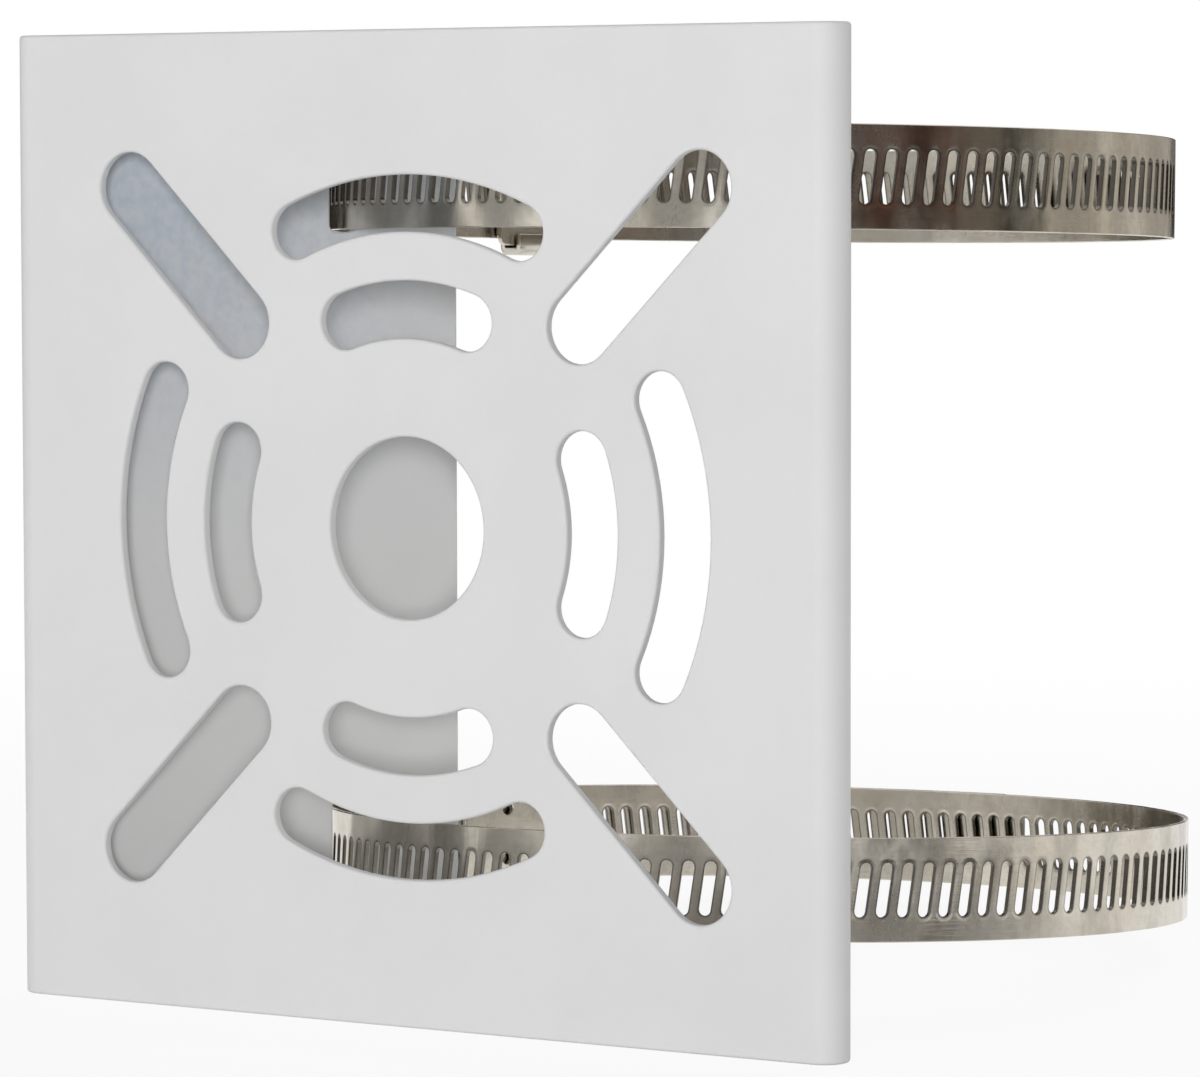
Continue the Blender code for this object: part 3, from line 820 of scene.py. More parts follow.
@dataclass(frozen=True)
class RolledStainless:
    """Stainless strip: rolling lines along it, faint warm clouds, long ripples and punched slots.

    Round each perforation a dark line of painted shade is laid, and the punch pulls the web between two
    slots into a slight crown. Each layer of tint is its patches, its share and its colour.
    """

    name: str
    seed: float = 0.0
    colour: Triple = (0.67, 0.63, 0.55)
    warm: Triple = (0.57, 0.495, 0.39)
    dull: Triple = (0.39, 0.365, 0.32)
    # Colour of the painted shade round the slots
    slot_shade_colour: Triple = (0.08, 0.07, 0.06)
    roughness: Pair = (0.15, 0.29)
    warm_clouds: Clouds = Clouds(85.0, 0.40, 0.68)
    dull_clouds: Clouds = Clouds(210.0, 0.44, 0.70, (1.0, 0.45, 1.0), 3.1)
    grain: Clouds = Clouds(900.0, 0.40, 0.75)
    rolling: Clouds = Clouds(3200.0, 0.38, 0.66, (0.05, 1.0, 1.0))
    ripple: Clouds = Clouds(130.0, stretch=(1.0, 0.12, 1.0), shift=1.3)
    warm_share: float = 0.55
    dull_share: float = 0.50
    grain_share: float = 0.26
    rolling_share: float = 0.10
    slot_shade_share: float = 0.80
    rolling_depth: float = 0.000006
    ripple_depth: float = 0.00008
    slot_shade_width: float = 0.00030
    crown_width: float = 0.00060
    crown_depth: float = 0.00002

    def material(self, shop: Workshop, slots: dict[str, float] | None = None) -> bpy.types.Material:
        """Builds the material, whose patterns lie on the strip's own flat coordinates.

        Args:
            shop: Shared effects.
            slots: Sizes of the perforations, or None on a piece that has none.

        Returns:
            The material.
        """
        paint = shop.paint(self.name, 1.0)
        flat = paint.add("ShaderNodeUVMap", uv_map=STRIP_MAP).outputs["UV"]
        warm, _ = shop.cloud(paint, flat, self.warm_clouds, self.seed)
        dull, dull_height = shop.cloud(paint, flat, self.dull_clouds, self.seed)
        grain, _ = shop.cloud(paint, flat, self.grain, self.seed)
        rolled, rolled_height = shop.cloud(paint, flat, self.rolling, self.seed)
        _, ripple_height = shop.cloud(paint, flat, self.ripple, self.seed)
        tint = paint.blend(warm, self.warm_share, self.colour, self.warm)
        tint = paint.blend(dull, self.dull_share, tint, self.dull)
        tint = paint.blend(grain, self.grain_share, tint, self.dull)
        tint = paint.blend(rolled, self.rolling_share, tint, self.dull)
        layers = [(ripple_height, self.ripple_depth), (rolled_height, self.rolling_depth)]
        if slots is not None:
            values = {"Vector": flat, **slots}
            nearest = paint.add("ShaderNodeGroup", values, node_tree=shop.slots.tree)
            distance = nearest.outputs["Distance"]
            # Painted shade: a dark line round the edge of each slot
            slot_shaded = paint.ramp(distance, (self.slot_shade_width, 0.0))
            tint = paint.blend(slot_shaded, self.slot_shade_share, tint, self.slot_shade_colour)
            layers.append((paint.ramp(distance, (0.0, self.crown_width)), self.crown_depth))
        paint.feed("Base Color", tint)
        paint.feed("Roughness", paint.ramp(dull_height, HEIGHT_SPAN, self.roughness))
        paint.feed("Normal", paint.relief(layers))
        return paint.material


@dataclass(frozen=True)
class ZincPlate:
    """Zinc plated screw: turned rings, a faint yellow cast and dull bruises."""

    colour: Triple = (0.56, 0.55, 0.50)
    bruise: Triple = (0.34, 0.325, 0.29)
    roughness: Pair = (0.22, 0.39)
    turned: Clouds = Clouds(5200.0, stretch=(1.0, 0.04, 1.0))
    worn: Clouds = Clouds(360.0, 0.50, 0.70)
    worn_share: float = 0.5
    turned_depth: float = 0.000008

    def material(self, shop: Workshop) -> bpy.types.Material:
        """Builds the material, whose rings run round the screw.

        Args:
            shop: Shared effects.

        Returns:
            The material.
        """
        paint = shop.paint("zinc_plated_screw", 1.0)
        flat = paint.add("ShaderNodeUVMap", uv_map=STRIP_MAP).outputs["UV"]
        place = paint.add("ShaderNodeTexCoord").outputs["Object"]
        _, turned = shop.cloud(paint, flat, self.turned)
        worn, worn_height = shop.cloud(paint, place, self.worn)
        paint.feed("Base Color", paint.blend(worn, self.worn_share, self.colour, self.bruise))
        paint.feed("Roughness", paint.ramp(worn_height, HEIGHT_SPAN, self.roughness))
        paint.feed("Normal", paint.relief([(turned, self.turned_depth)]))
        return paint.material


def dress(piece: bpy.types.Object, material: bpy.types.Material, slot: Slot, body: str,
          cad_node: str) -> bpy.types.Object:
    """Gives a piece its material, its body and the solid that it stands for.

    Args:
        piece: The finished piece.
        material: Its finish.
        slot: The record's slot that the finish belongs to; not used.
        body: Body that it moves with.
        cad_node: Solid that it replaces.

    Returns:
        The same piece.
    """
    piece.data.materials.clear()
    piece.data.materials.append(material)
    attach(piece, body)
    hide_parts(cad_node)
    return piece


def finish_modifiers(piece: bpy.types.Object, sharp: float) -> bpy.types.Object:
    """Applies a piece's modifiers and shades it smooth except at its steep edges.

    Args:
        piece: Piece with live modifiers.
        sharp: Angle past which an edge stays sharp.

    Returns:
        The same piece.
    """
    depsgraph = bpy.context.evaluated_depsgraph_get()
    mesh = bpy.data.meshes.new_from_object(piece.evaluated_get(depsgraph))
    piece.modifiers.clear()
    piece.data = mesh
    mesh.name = piece.name
    mesh.shade_smooth()
    mesh.set_sharp_from_angle(angle=sharp)
    return piece


# Bracket


@dataclass
class FoldedBracket:
    """Sheet bracket: a blank with its holes and windows, folded back along two bends."""

    sheet: float = 0.0015
    height: float = 0.118
    width: float = 0.116
    inner_radius: float = 0.0015
    flange_angle: float = math.radians(60.0)
    flange_length: float = 0.0574
    flange_corner: float = 0.0030
    pattern_rise: float = 0.0003
    centre_radius: float = 0.0108
    arcs: tuple[Triple, ...] = (
        (0.0258, 0.0068, math.radians(19.5)),
        (0.0383, 0.0067, math.radians(24.3)),
    )
    diagonal_start: float = 0.0339
    diagonal_end: float = 0.0567
    diagonal_width: float = 0.0086
    window_distance: float = 0.0413
    window_size: Pair = (0.0036, 0.0174)
    window_corner: float = 0.0010
    window_spacing: float = 0.0868
    rounding: float = 0.00042
    bend_steps: int = 14
    circle_steps: int = 96
    slot_steps: int = 18
    window_steps: int = 6
    corner_steps: int = 10

    def __post_init__(self) -> None:
        """Works out the sizes that follow from the fields."""
        self.edge = SheetEdge(self.sheet, self.rounding)
        self.flat = self.width / 2 - self.inner_radius - self.sheet
        self.bend_radius = self.inner_radius + self.sheet / 2
        self.turn = math.pi - self.flange_angle
        self.arc_length = self.bend_radius * self.turn
        self.flange_start = self.flat + self.arc_length
        self.flange_end = self.flange_start + self.flange_length

    def fold(self, patch: Patch) -> Patch:
        """Folds a patch of the blank.

        A point keeps its distance along the blank: first straight along the plate, then round the
        bend, where it has turned by t = (distance - flat) / radius, then straight along the flange.
        There the blank's length runs along (cos t, sin t), and out of it is (sin t, -cos t). The left
        half is the right half mirrored.

        Args:
            patch: Patch in the blank's space.

        Returns:
            The same patch in space.
        """
        along, up, out = patch.points.T
        side = np.where(along < 0, -1.0, 1.0)
        distance = np.abs(along)
        turned = np.clip((distance - self.flat) / self.bend_radius, 0.0, self.turn)
        beyond = np.maximum(distance - self.flange_start, 0.0)
        sine, cosine = np.sin(turned), np.cos(turned)
        x = np.minimum(distance, self.flat) + self.bend_radius * sine + beyond * cosine
        y = self.bend_radius * (1 - cosine) + beyond * sine
        ahead = np.stack([cosine, side * sine, 0 * side], axis=1)
        outward = np.stack([side * sine, -cosine, 0 * side], axis=1)
        middle = np.stack([side * x, y, up], axis=1)
        return patch.carried(middle + out[:, None] * outward, ahead, outward)

    def pattern(self) -> list[Outline]:
        """Outlines of the plate's centre hole, two rings of arcs and four diagonals.

        Returns:
            The outlines.
        """
        centre = (0.0, self.height / 2 + self.pattern_rise)
        holes = [Outline.circle(centre, self.centre_radius, self.circle_steps)]
        middle = (self.diagonal_start + self.diagonal_end) / 2
        length = self.diagonal_end - self.diagonal_start
        for square in QUARTER * np.arange(4):
            for radius, width, half_angle in self.arcs:
                holes.append(Outline.arc_slot(centre, radius, width, square, half_angle, self.slot_steps))
            angle = square + QUARTER / 2
            place = (centre[0] + middle * math.cos(angle), centre[1] + middle * math.sin(angle))
            holes.append(Outline.stadium(place, angle, length, self.diagonal_width, self.slot_steps))
        return holes

    def windows(self, side: int) -> list[Outline]:
        """Outlines of the two windows in one flange.

        Args:
            side: 1 for the right flange and -1 for the left one.

        Returns:
            The lower and the upper window.
        """
        middle = side * (self.flange_start + self.window_distance)
        half_across, half_up = self.window_size[0] / 2, self.window_size[1] / 2
        outlines = []
        for level in (self.height - self.window_spacing, self.height + self.window_spacing):
            low = (middle - half_across, level / 2 - half_up)
            high = (middle + half_across, level / 2 + half_up)
            outlines.append(Outline.rectangle(low, high, self.window_corner, self.window_steps, hole=True))
        return outlines

    def bend_stations(self) -> np.ndarray:
        """Places along the blank at which a bend is stepped."""
        return self.flat + self.arc_length * np.linspace(0.0, 1.0, self.bend_steps + 1)

    def blank_edge(self) -> Outline:
        """Outer edge of the blank, with rounded corners at the flanges' free edges.

        Returns:
            The edge, run anticlockwise.
        """
        bend = self.bend_stations()
        stations = np.concatenate([-bend[::-1], bend])[:, None]
        inward = np.repeat([[0.0, 1.0]], len(stations), axis=0)
        low = Outline(stations * (1, 0), inward)
        high = Outline(stations[::-1] * (1, 0) + (0, self.height), -inward)
        corner = self.flange_corner
        end, near, far = self.flange_end - corner, corner, self.height - corner
        places = ((end, near), (end, far), (-end, far), (-end, near))
        corners = [Outline.arc(place, corner, (index - 1) * QUARTER, QUARTER, self.corner_steps, hole=False)
                   for index, place in enumerate(places)]
        return Outline.joined([low, *corners[:2], high, *corners[2:]])

    def bends(self) -> Patch:
        """Both faces of both bends: a ladder of long quads between the upper and the lower edge.

        Returns:
            The bends in the blank's space.
        """
        stations = self.bend_stations()
        parts = []
        for side in (-1, 1):
            rows = [np.stack([side * stations, np.full(len(stations), up)], axis=1)
                    for up in (self.rounding, self.height - self.rounding)]
            parts.append(self.edge.both_faces(np.concatenate(rows), grid_faces(2, len(stations))))
        return Patch.joined(parts)

    def pierced(self, outer: np.ndarray, holes: list[Outline]) -> list[Patch]:
        """Both faces of a flat region and the rims of its holes.

        Args:
            outer: Points of the region's outline.
            holes: Its holes.

        Returns:
            The patches in the blank's space.
        """
        inner = [hole.inset(self.rounding) for hole in holes]
        return [self.edge.faces(outer, inner)] + [self.edge.rim(hole) for hole in holes]

    def build(self, material: bpy.types.Material) -> list[bpy.types.Object]:
        """Makes the bracket and dresses it.

        Args:
            material: Its powder coat.

        Returns:
            The finished piece.
        """
        border = self.blank_edge()
        inner = border.inset(self.rounding)
        low, high = self.rounding, self.height - self.rounding
        plate = np.array([(-self.flat, low), (self.flat, low), (self.flat, high), (-self.flat, high)])
        patches = [self.edge.rim(border), self.bends(), *self.pierced(plate, self.pattern())]
        for side in (-1, 1):
            flange = inner[side * inner[:, 0] > self.flange_start - WELD]
            if side < 0:
                flange = np.roll(flange, -int(np.argmax(flange[:, 1] > self.height / 2)), axis=0)
            patches += self.pierced(flange, self.windows(side))
        piece = self.fold(Patch.joined(patches)).sheet_piece("coated_bracket")
        return [dress(piece, material, Slot.COAT, "bracket", "bracket")]


# Clamps


@dataclass
class ClampLayout:
    """What the four pieces of a clamp share: the radii of its layers and its place on its hinge."""

    name: str
    ring_radius: float
    housing_angle: float
    strip_width: float = 0.0127
    strip: float = 0.00065
    pitch: float = 0.002692
    layer_gap: float = 0.0003
    housing_sheet: float = 0.0010
    housing_width: float = 0.0172
    housing_length: float = 0.0112
    saddle_sheet: float = 0.0009
    thread_radius: float = 0.0040
    thread_clearance: float = 0.0003
    neck_radius: float = 0.0021

    def __post_init__(self) -> None:
        """Works out the radii of the layers and the clamp's place."""
        self.outer_radius = self.ring_radius + self.strip + self.layer_gap
        over_band = self.outer_radius + self.strip / 2
        self.shoulder_radius = over_band + self.layer_gap + self.housing_sheet / 2
        self.screw_radius = over_band + self.thread_clearance + self.thread_radius
        self.saddle_radius = self.ring_radius - self.strip / 2 - self.layer_gap - self.saddle_sheet / 2
        both_sheets = self.saddle_sheet + self.housing_sheet
        self.hook_radius = self.saddle_radius - both_sheets / 2 - self.layer_gap
        self.half_width = (self.housing_width - self.housing_sheet) / 2
        self.turned, self.centre = self.hinge_place()

    def hinge_place(self) -> tuple[np.ndarray, np.ndarray]:
        """Reads the clamp's place from its hinge.

        Its columns are the directions of the housing, across it and up the hinge's axis.

        Returns:
            Turn and centre of the ring.
        """
        joints = {joint["name"]: joint for joint in frame["joints"]}
        hinge = joints[self.name + "_clamp_turn"]
        axis = np.array(hinge["axis"])
        axis = axis / np.linalg.norm(axis)
        level = np.array([axis[2], 0.0, -axis[0]])
        level = level / np.linalg.norm(level)
        leaning = np.stack([level, np.cross(axis, level), axis], axis=1)
        cosine, sine = math.cos(self.housing_angle), math.sin(self.housing_angle)
        turn = np.array([[cosine, -sine, 0.0], [sine, cosine, 0.0], [0.0, 0.0, 1.0]])
        return leaning @ turn, np.array(hinge["pos_m"])

    def placed(self, patch: Patch) -> Patch:
        """Moves a patch from the ring's own space, where the housing is on +X, to its place.

        Args:
            patch: Patch in the ring's space.

        Returns:
            The same patch in space.
        """
        points = patch.points @ self.turned.T + self.centre
        return replace(patch, points=points, normals=patch.normals @ self.turned.T)


@dataclass
class PerforatedBand:
    """Strip with slanted slots, rolled into a ring whose free end laps over its start.

    Lengths along it are counted from the middle of the housing. Its slots come in pairs.
    """

    layout: ClampLayout
    rounding: float = 0.00014
    slot_length: float = 0.0067
    slot_width: float = 0.00145
    slot_rounding: float = 0.00007
    slot_lean: float = math.radians(7.5)
    slot_steps: int = 6
    free_length: float = 0.4292
    tail_plain: float = 0.0086
    tail_steps: int = 4
    tip_length: float = 0.0040
    tip_width: float = 0.0050
    tip_steps: int = 16
    ramp_length: float = 0.0230
    start_length: float = 0.0072
    start_plain: float = 0.0203
    start_steps: int = 11
    corner: float = 0.0005
    corner_steps: int = 4

    def __post_init__(self) -> None:
        """Works out where the slots begin and end."""
        pair = 2 * self.layout.pitch
        self.first = self.start_plain - self.start_length
        self.cells = int((self.free_length - self.tail_plain - self.first) / pair) * 2
        self.last = self.first + self.cells * self.layout.pitch

    def slot_sizes(self) -> dict[str, float]:
        """Sizes of the perforations, as the finish's slot group names them."""
        return {"First": self.first, "Pitch": self.layout.pitch, "Lean": self.slot_lean,
                "Straight": self.slot_length - self.slot_width, "Width": self.slot_width}

    def roll(self, patch: Patch) -> Patch:
        """Winds a patch of the strip clockwise round the ring.

        At a length s the strip has turned by s / R, and past the ramp's middle each further length
        turns it by its share of the outer layer's radius. Its middle lies at radius r(s), which eases
        by 3 t^2 - 2 t^3 from the ring's radius to the outer layer's before the strip laps over its
        start. The tangent is r' along the ray plus r / R across it, and the normal is square to it.

        Args:
            patch: Patch in the strip's space.

        Returns:
            The same patch round the ring's axis.
        """
        inner, outer = self.layout.ring_radius, self.layout.outer_radius
        along, up, out = patch.points.T
        start = 2 * math.pi * inner - self.start_length - self.ramp_length
        share = np.clip((along - start) / self.ramp_length, 0.0, 1.0)
        rise = outer - inner
        radius = inner + rise * share**2 * (3 - 2 * share)
        slope = (rise * 6 * share * (1 - share) / self.ramp_length)[:, None]
        lapped = np.maximum(along - start - self.ramp_length / 2, 0.0)
        rate = (radius / np.where(lapped > 0, outer, inner))[:, None]
        ray = rays(-((along - lapped) / inner + lapped / outer))
        ahead = np.cross(ray, UP)
        length = np.sqrt(rate**2 + slope**2)
        tangent = (slope * ray + rate * ahead) / length
        outward = (rate * ray - slope * ahead) / length
        points = radius[:, None] * ray + out[:, None] * outward + up[:, None] * UP
        return patch.carried(points, tangent, outward)

    def strip_end(self, end: float, side: int, length: float, width: float, steps: int) -> Outline:
        """Quarter ellipse from the strip's upper edge to its end.

        It runs as along = end - side * A (1 - sin s) and up = B0 + B cos s, and its normal into the
        sheet is -(side * sin s / A, cos s / B), made a unit vector.

        Args:
            end: Place of the strip's end.
            side: 1 at the free end and -1 at the start.
            length: Length A of the rounded stretch.
            width: Width that is left straight across at the very end.
            steps: Steps along the quarter.

        Returns:
            The stretch of the strip's upper edge.
        """
        swing = np.linspace(0.0, QUARTER, steps + 1)
        drop = (self.layout.strip_width - width) / 2
        along = end - side * length * (1 - np.sin(swing))
        half = width / 2 + drop * np.cos(swing)
        normal = np.stack([side * np.sin(swing) / length, np.cos(swing) / drop], axis=1)
        size = np.linalg.norm(normal, axis=1, keepdims=True)
        return Outline(np.stack([along, half], axis=1), -normal / size)

    def upper_edge(self) -> Outline:
        """Upper edge of the strip from its start to its tip, with a point at each slot's cell.

        Returns:
            The edge, from its start's middle to its tip's middle.
        """
        width, begin, end = self.layout.strip_width, -self.start_length, self.free_length
        head = self.strip_end(begin, -1, self.corner, width - 2 * self.corner, self.corner_steps)
        tail = self.strip_end(end, 1, self.tip_length, self.tip_width, self.tip_steps)
        plain_start = np.linspace(begin + self.corner, self.first, self.start_steps + 1)[1:-1]
        perforated = self.first + self.layout.pitch * np.arange(self.cells + 1)
        plain_tail = np.linspace(self.last, end - self.tip_length, self.tail_steps + 1)[1:-1]
        along = np.concatenate([plain_start, perforated, plain_tail])[:, None]
        middle = Outline(along * (1, 0) + (0, width / 2), 0 * along + (0, -1))
        return Outline.joined([head.backwards(), middle, tail])

    def surface(self) -> Patch:
        """Strip with its rim, its slots and the web between them, wound into the ring.

        Returns:
            The band in the ring's space.
        """
        edge = SheetEdge(self.layout.strip, self.rounding)
        upper = self.upper_edge()
        lower = Outline(upper.points * (1, -1), upper.inward * (1, -1))
        rows = np.concatenate([lower.inset(self.rounding), upper.inset(self.rounding)])
        quads = grid_faces(2, len(upper.points))
        left = rows[quads[:, 0], 0]
        plain = (left < self.first - WELD) | (left > self.last - WELD)
        border = Outline.joined([upper, lower.backwards()])
        patches = [edge.rim(border), edge.both_faces(rows, quads[plain]), self.perforated_cells()]
        return self.roll(Patch.joined(patches))

    def perforated_cells(self) -> Patch:
        """One cell of web round one slot, repeated along the strip.

        Returns:
            All cells in the strip's space.
        """
        pitch = self.layout.pitch
        edge = SheetEdge(self.layout.strip, self.slot_rounding, 1)
        straight = self.slot_length - self.slot_width
        angle = QUARTER + self.slot_lean
        slot = Outline.stadium((pitch / 2, 0.0), angle, straight, self.slot_width, self.slot_steps)
        top = self.layout.strip_width / 2 - self.rounding
        cell = np.array([(0.0, -top), (pitch, -top), (pitch, top), (0.0, top)])
        one = Patch.joined([edge.faces(cell, [slot.inset(self.slot_rounding)]), edge.rim(slot)])
        count = len(one.points)
        number = np.arange(self.cells)
        points = np.tile(one.points, (self.cells, 1))
        points[:, 0] += np.repeat(self.first + pitch * number, count)
        offsets = (count * number)[:, None, None]
        faces = [(rows[None] + offsets).reshape(-1, rows.shape[1]) for rows in one.faces]
        blank = np.hstack([points[:, :2], np.tile(one.blank[:, 2:], (self.cells, 1))])
        return Patch(points, np.tile(one.normals, (self.cells, 1)), blank, faces)

    def make(self) -> bpy.types.Object:
        """Makes the band in its place."""
        return self.layout.placed(self.surface()).sheet_piece(self.layout.name + "_perforated_band")


@dataclass
class SaddlePlate:
    """Saddle plate with two lock holes: a flat rectangle bent round the ring's axis."""

    layout: ClampLayout
    length: float = 0.0150
    clearance: float = 0.0003
    corner: float = 0.0009
    rounding: float = 0.00018
    lock_radius: float = 0.0008
    lock_offset: float = 0.0034
    corner_steps: int = 5
    side_splits: int = 20
    lock_steps: int = 24

    def surface(self) -> Patch:
        """Bends the flat plate: a length s along it turns by s / R round the ring's axis.

        Returns:
            The saddle in the ring's space.
        """
        edge = SheetEdge(self.layout.saddle_sheet, self.rounding)
        half_up = self.layout.half_width - self.layout.housing_sheet / 2 - self.clearance
        high = (self.length / 2, half_up)
        low = (-high[0], -high[1])
        border = Outline.rectangle(low, high, self.corner, self.corner_steps, False, self.side_splits)
        holes = [Outline.circle((0.0, side * self.lock_offset), self.lock_radius, self.lock_steps)
                 for side in (-1, 1)]
        insets = [hole.inset(self.rounding) for hole in holes]
        patches = [edge.rim(border), edge.faces(border.inset(self.rounding), insets)]
        flat = Patch.joined(patches + [edge.rim(hole) for hole in holes])
        along, up, out = flat.points.T
        ray = rays(along / self.layout.saddle_radius)
        points = (self.layout.saddle_radius + out)[:, None] * ray + up[:, None] * UP
        return flat.carried(points, np.cross(UP, ray), ray)

    def make(self) -> bpy.types.Object:
        """Makes the saddle in its place."""
        return self.layout.placed(self.surface()).sheet_piece(self.layout.name + "_saddle_plate")


@dataclass
class PressedHousing:
    """Pressed housing: hooks round the saddle, shoulders over the band and a dome over the worm."""

    layout: ClampLayout
    bend: float = 0.0008
    bend_steps: int = 5
    dome_clearance: float = 0.0006
    dome_steps: int = 12
    hook_reach: float = 0.0024
    neck_clearance: float = 0.0004
    stations: int = 9
    soft_edge: float = 0.00016
    soft_from: float = math.radians(50.0)
    sharp_from: float = math.radians(40.0)

    def section(self) -> tuple[np.ndarray, np.ndarray]:
        """Section of the housing: hook, side, shoulder, dome, and the same again mirrored.

        Returns:
            Radius and height of each of its points, and which of them belong to the dome.
        """
        layout, bend = self.layout, self.bend
        side, hook, shoulder = layout.half_width, layout.hook_radius, layout.shoulder_radius
        dome = layout.thread_radius + self.dome_clearance + layout.housing_sheet / 2
        quarter = np.linspace(0.0, QUARTER, self.bend_steps + 1)
        sine, cosine = np.sin(quarter), np.cos(quarter)
        first = np.stack([hook + bend * (1 - cosine), side - bend * (1 - sine)], axis=1)
        second = np.stack([shoulder - bend * (1 - sine), side - bend * (1 - cosine)], axis=1)
        third = np.stack([shoulder + bend * (1 - cosine), dome + bend * (1 - sine)], axis=1)
        arch = QUARTER * (1 - np.linspace(0.0, 1.0, self.dome_steps + 1))
        crown = rays(arch)[:, :2] * dome + (layout.screw_radius, 0.0)
        half = np.concatenate([[(hook, side - self.hook_reach)], first, second, third, crown])
        section = np.concatenate([half, half[-2::-1] * (1, -1)])
        return section, section[:, 0] > shoulder + bend - WELD

    def surface(self) -> Patch:
        """Carries the section along the band, with a lip at each end of the dome.

        Below the dome a point at a station t along the screw lies at sqrt(r^2 - t^2), so that it
        follows the ring. Each lip runs from the dome in to the screw's neck.

        Returns:
            Middle surface of the sheet in the ring's space.
        """
        layout = self.layout
        section, straight = self.section()
        reach = (layout.housing_length - layout.housing_sheet) / 2
        stations = np.linspace(-reach, reach, self.stations)[:, None]
        radius = np.where(straight, section[:, 0], np.sqrt(section[:, 0] ** 2 - stations**2))
        along = np.repeat(stations, len(section), axis=1)
        level = np.repeat(section[None, :, 1], len(stations), axis=0)
        shell = np.dstack([radius, along, level]).reshape(-1, 3)
        parts = [Patch.bare(shell, shell[:, 1:], [grid_faces(len(stations), len(section))])]
        gap = layout.neck_radius + self.neck_clearance
        arch = section[straight]
        offset = arch - (layout.screw_radius, 0.0)
        size = np.linalg.norm(offset, axis=1, keepdims=True)
        below = np.stack([offset[:, 0], np.copysign(gap, offset[:, 1])], axis=1)
        neck = np.where(offset[:, :1] > WELD, offset / size * gap, below)
        rows = np.concatenate([arch, neck + (layout.screw_radius, 0.0)])
        quads = grid_faces(2, len(arch))
        for station, faces in ((-reach, quads[:, ::-1]), (reach, quads)):
            lip = np.stack([rows[:, 0], np.full(len(rows), station), rows[:, 1]], axis=1)
            parts.append(Patch.bare(lip, lip[:, 1:], [faces]))
        return Patch.joined(parts).welded()

    def make(self) -> bpy.types.Object:
        """Makes the housing in its place, with its thickness and softened edges.

        Returns:
            The finished piece.
        """
        name = self.layout.name + "_pressed_housing"
        piece = self.layout.placed(self.surface()).rough_piece(name)
        solid = piece.modifiers.new("thickness", "SOLIDIFY")
        solid.thickness = self.layout.housing_sheet
        solid.offset = 0.0
        solid.use_even_offset = True
        solid.use_quality_normals = True
        soft = piece.modifiers.new("soft_edges", "BEVEL")
        soft.width = self.soft_edge
        soft.segments = 2
        soft.limit_method = "ANGLE"
        soft.angle_limit = self.soft_from
        return finish_modifiers(piece, self.sharp_from)


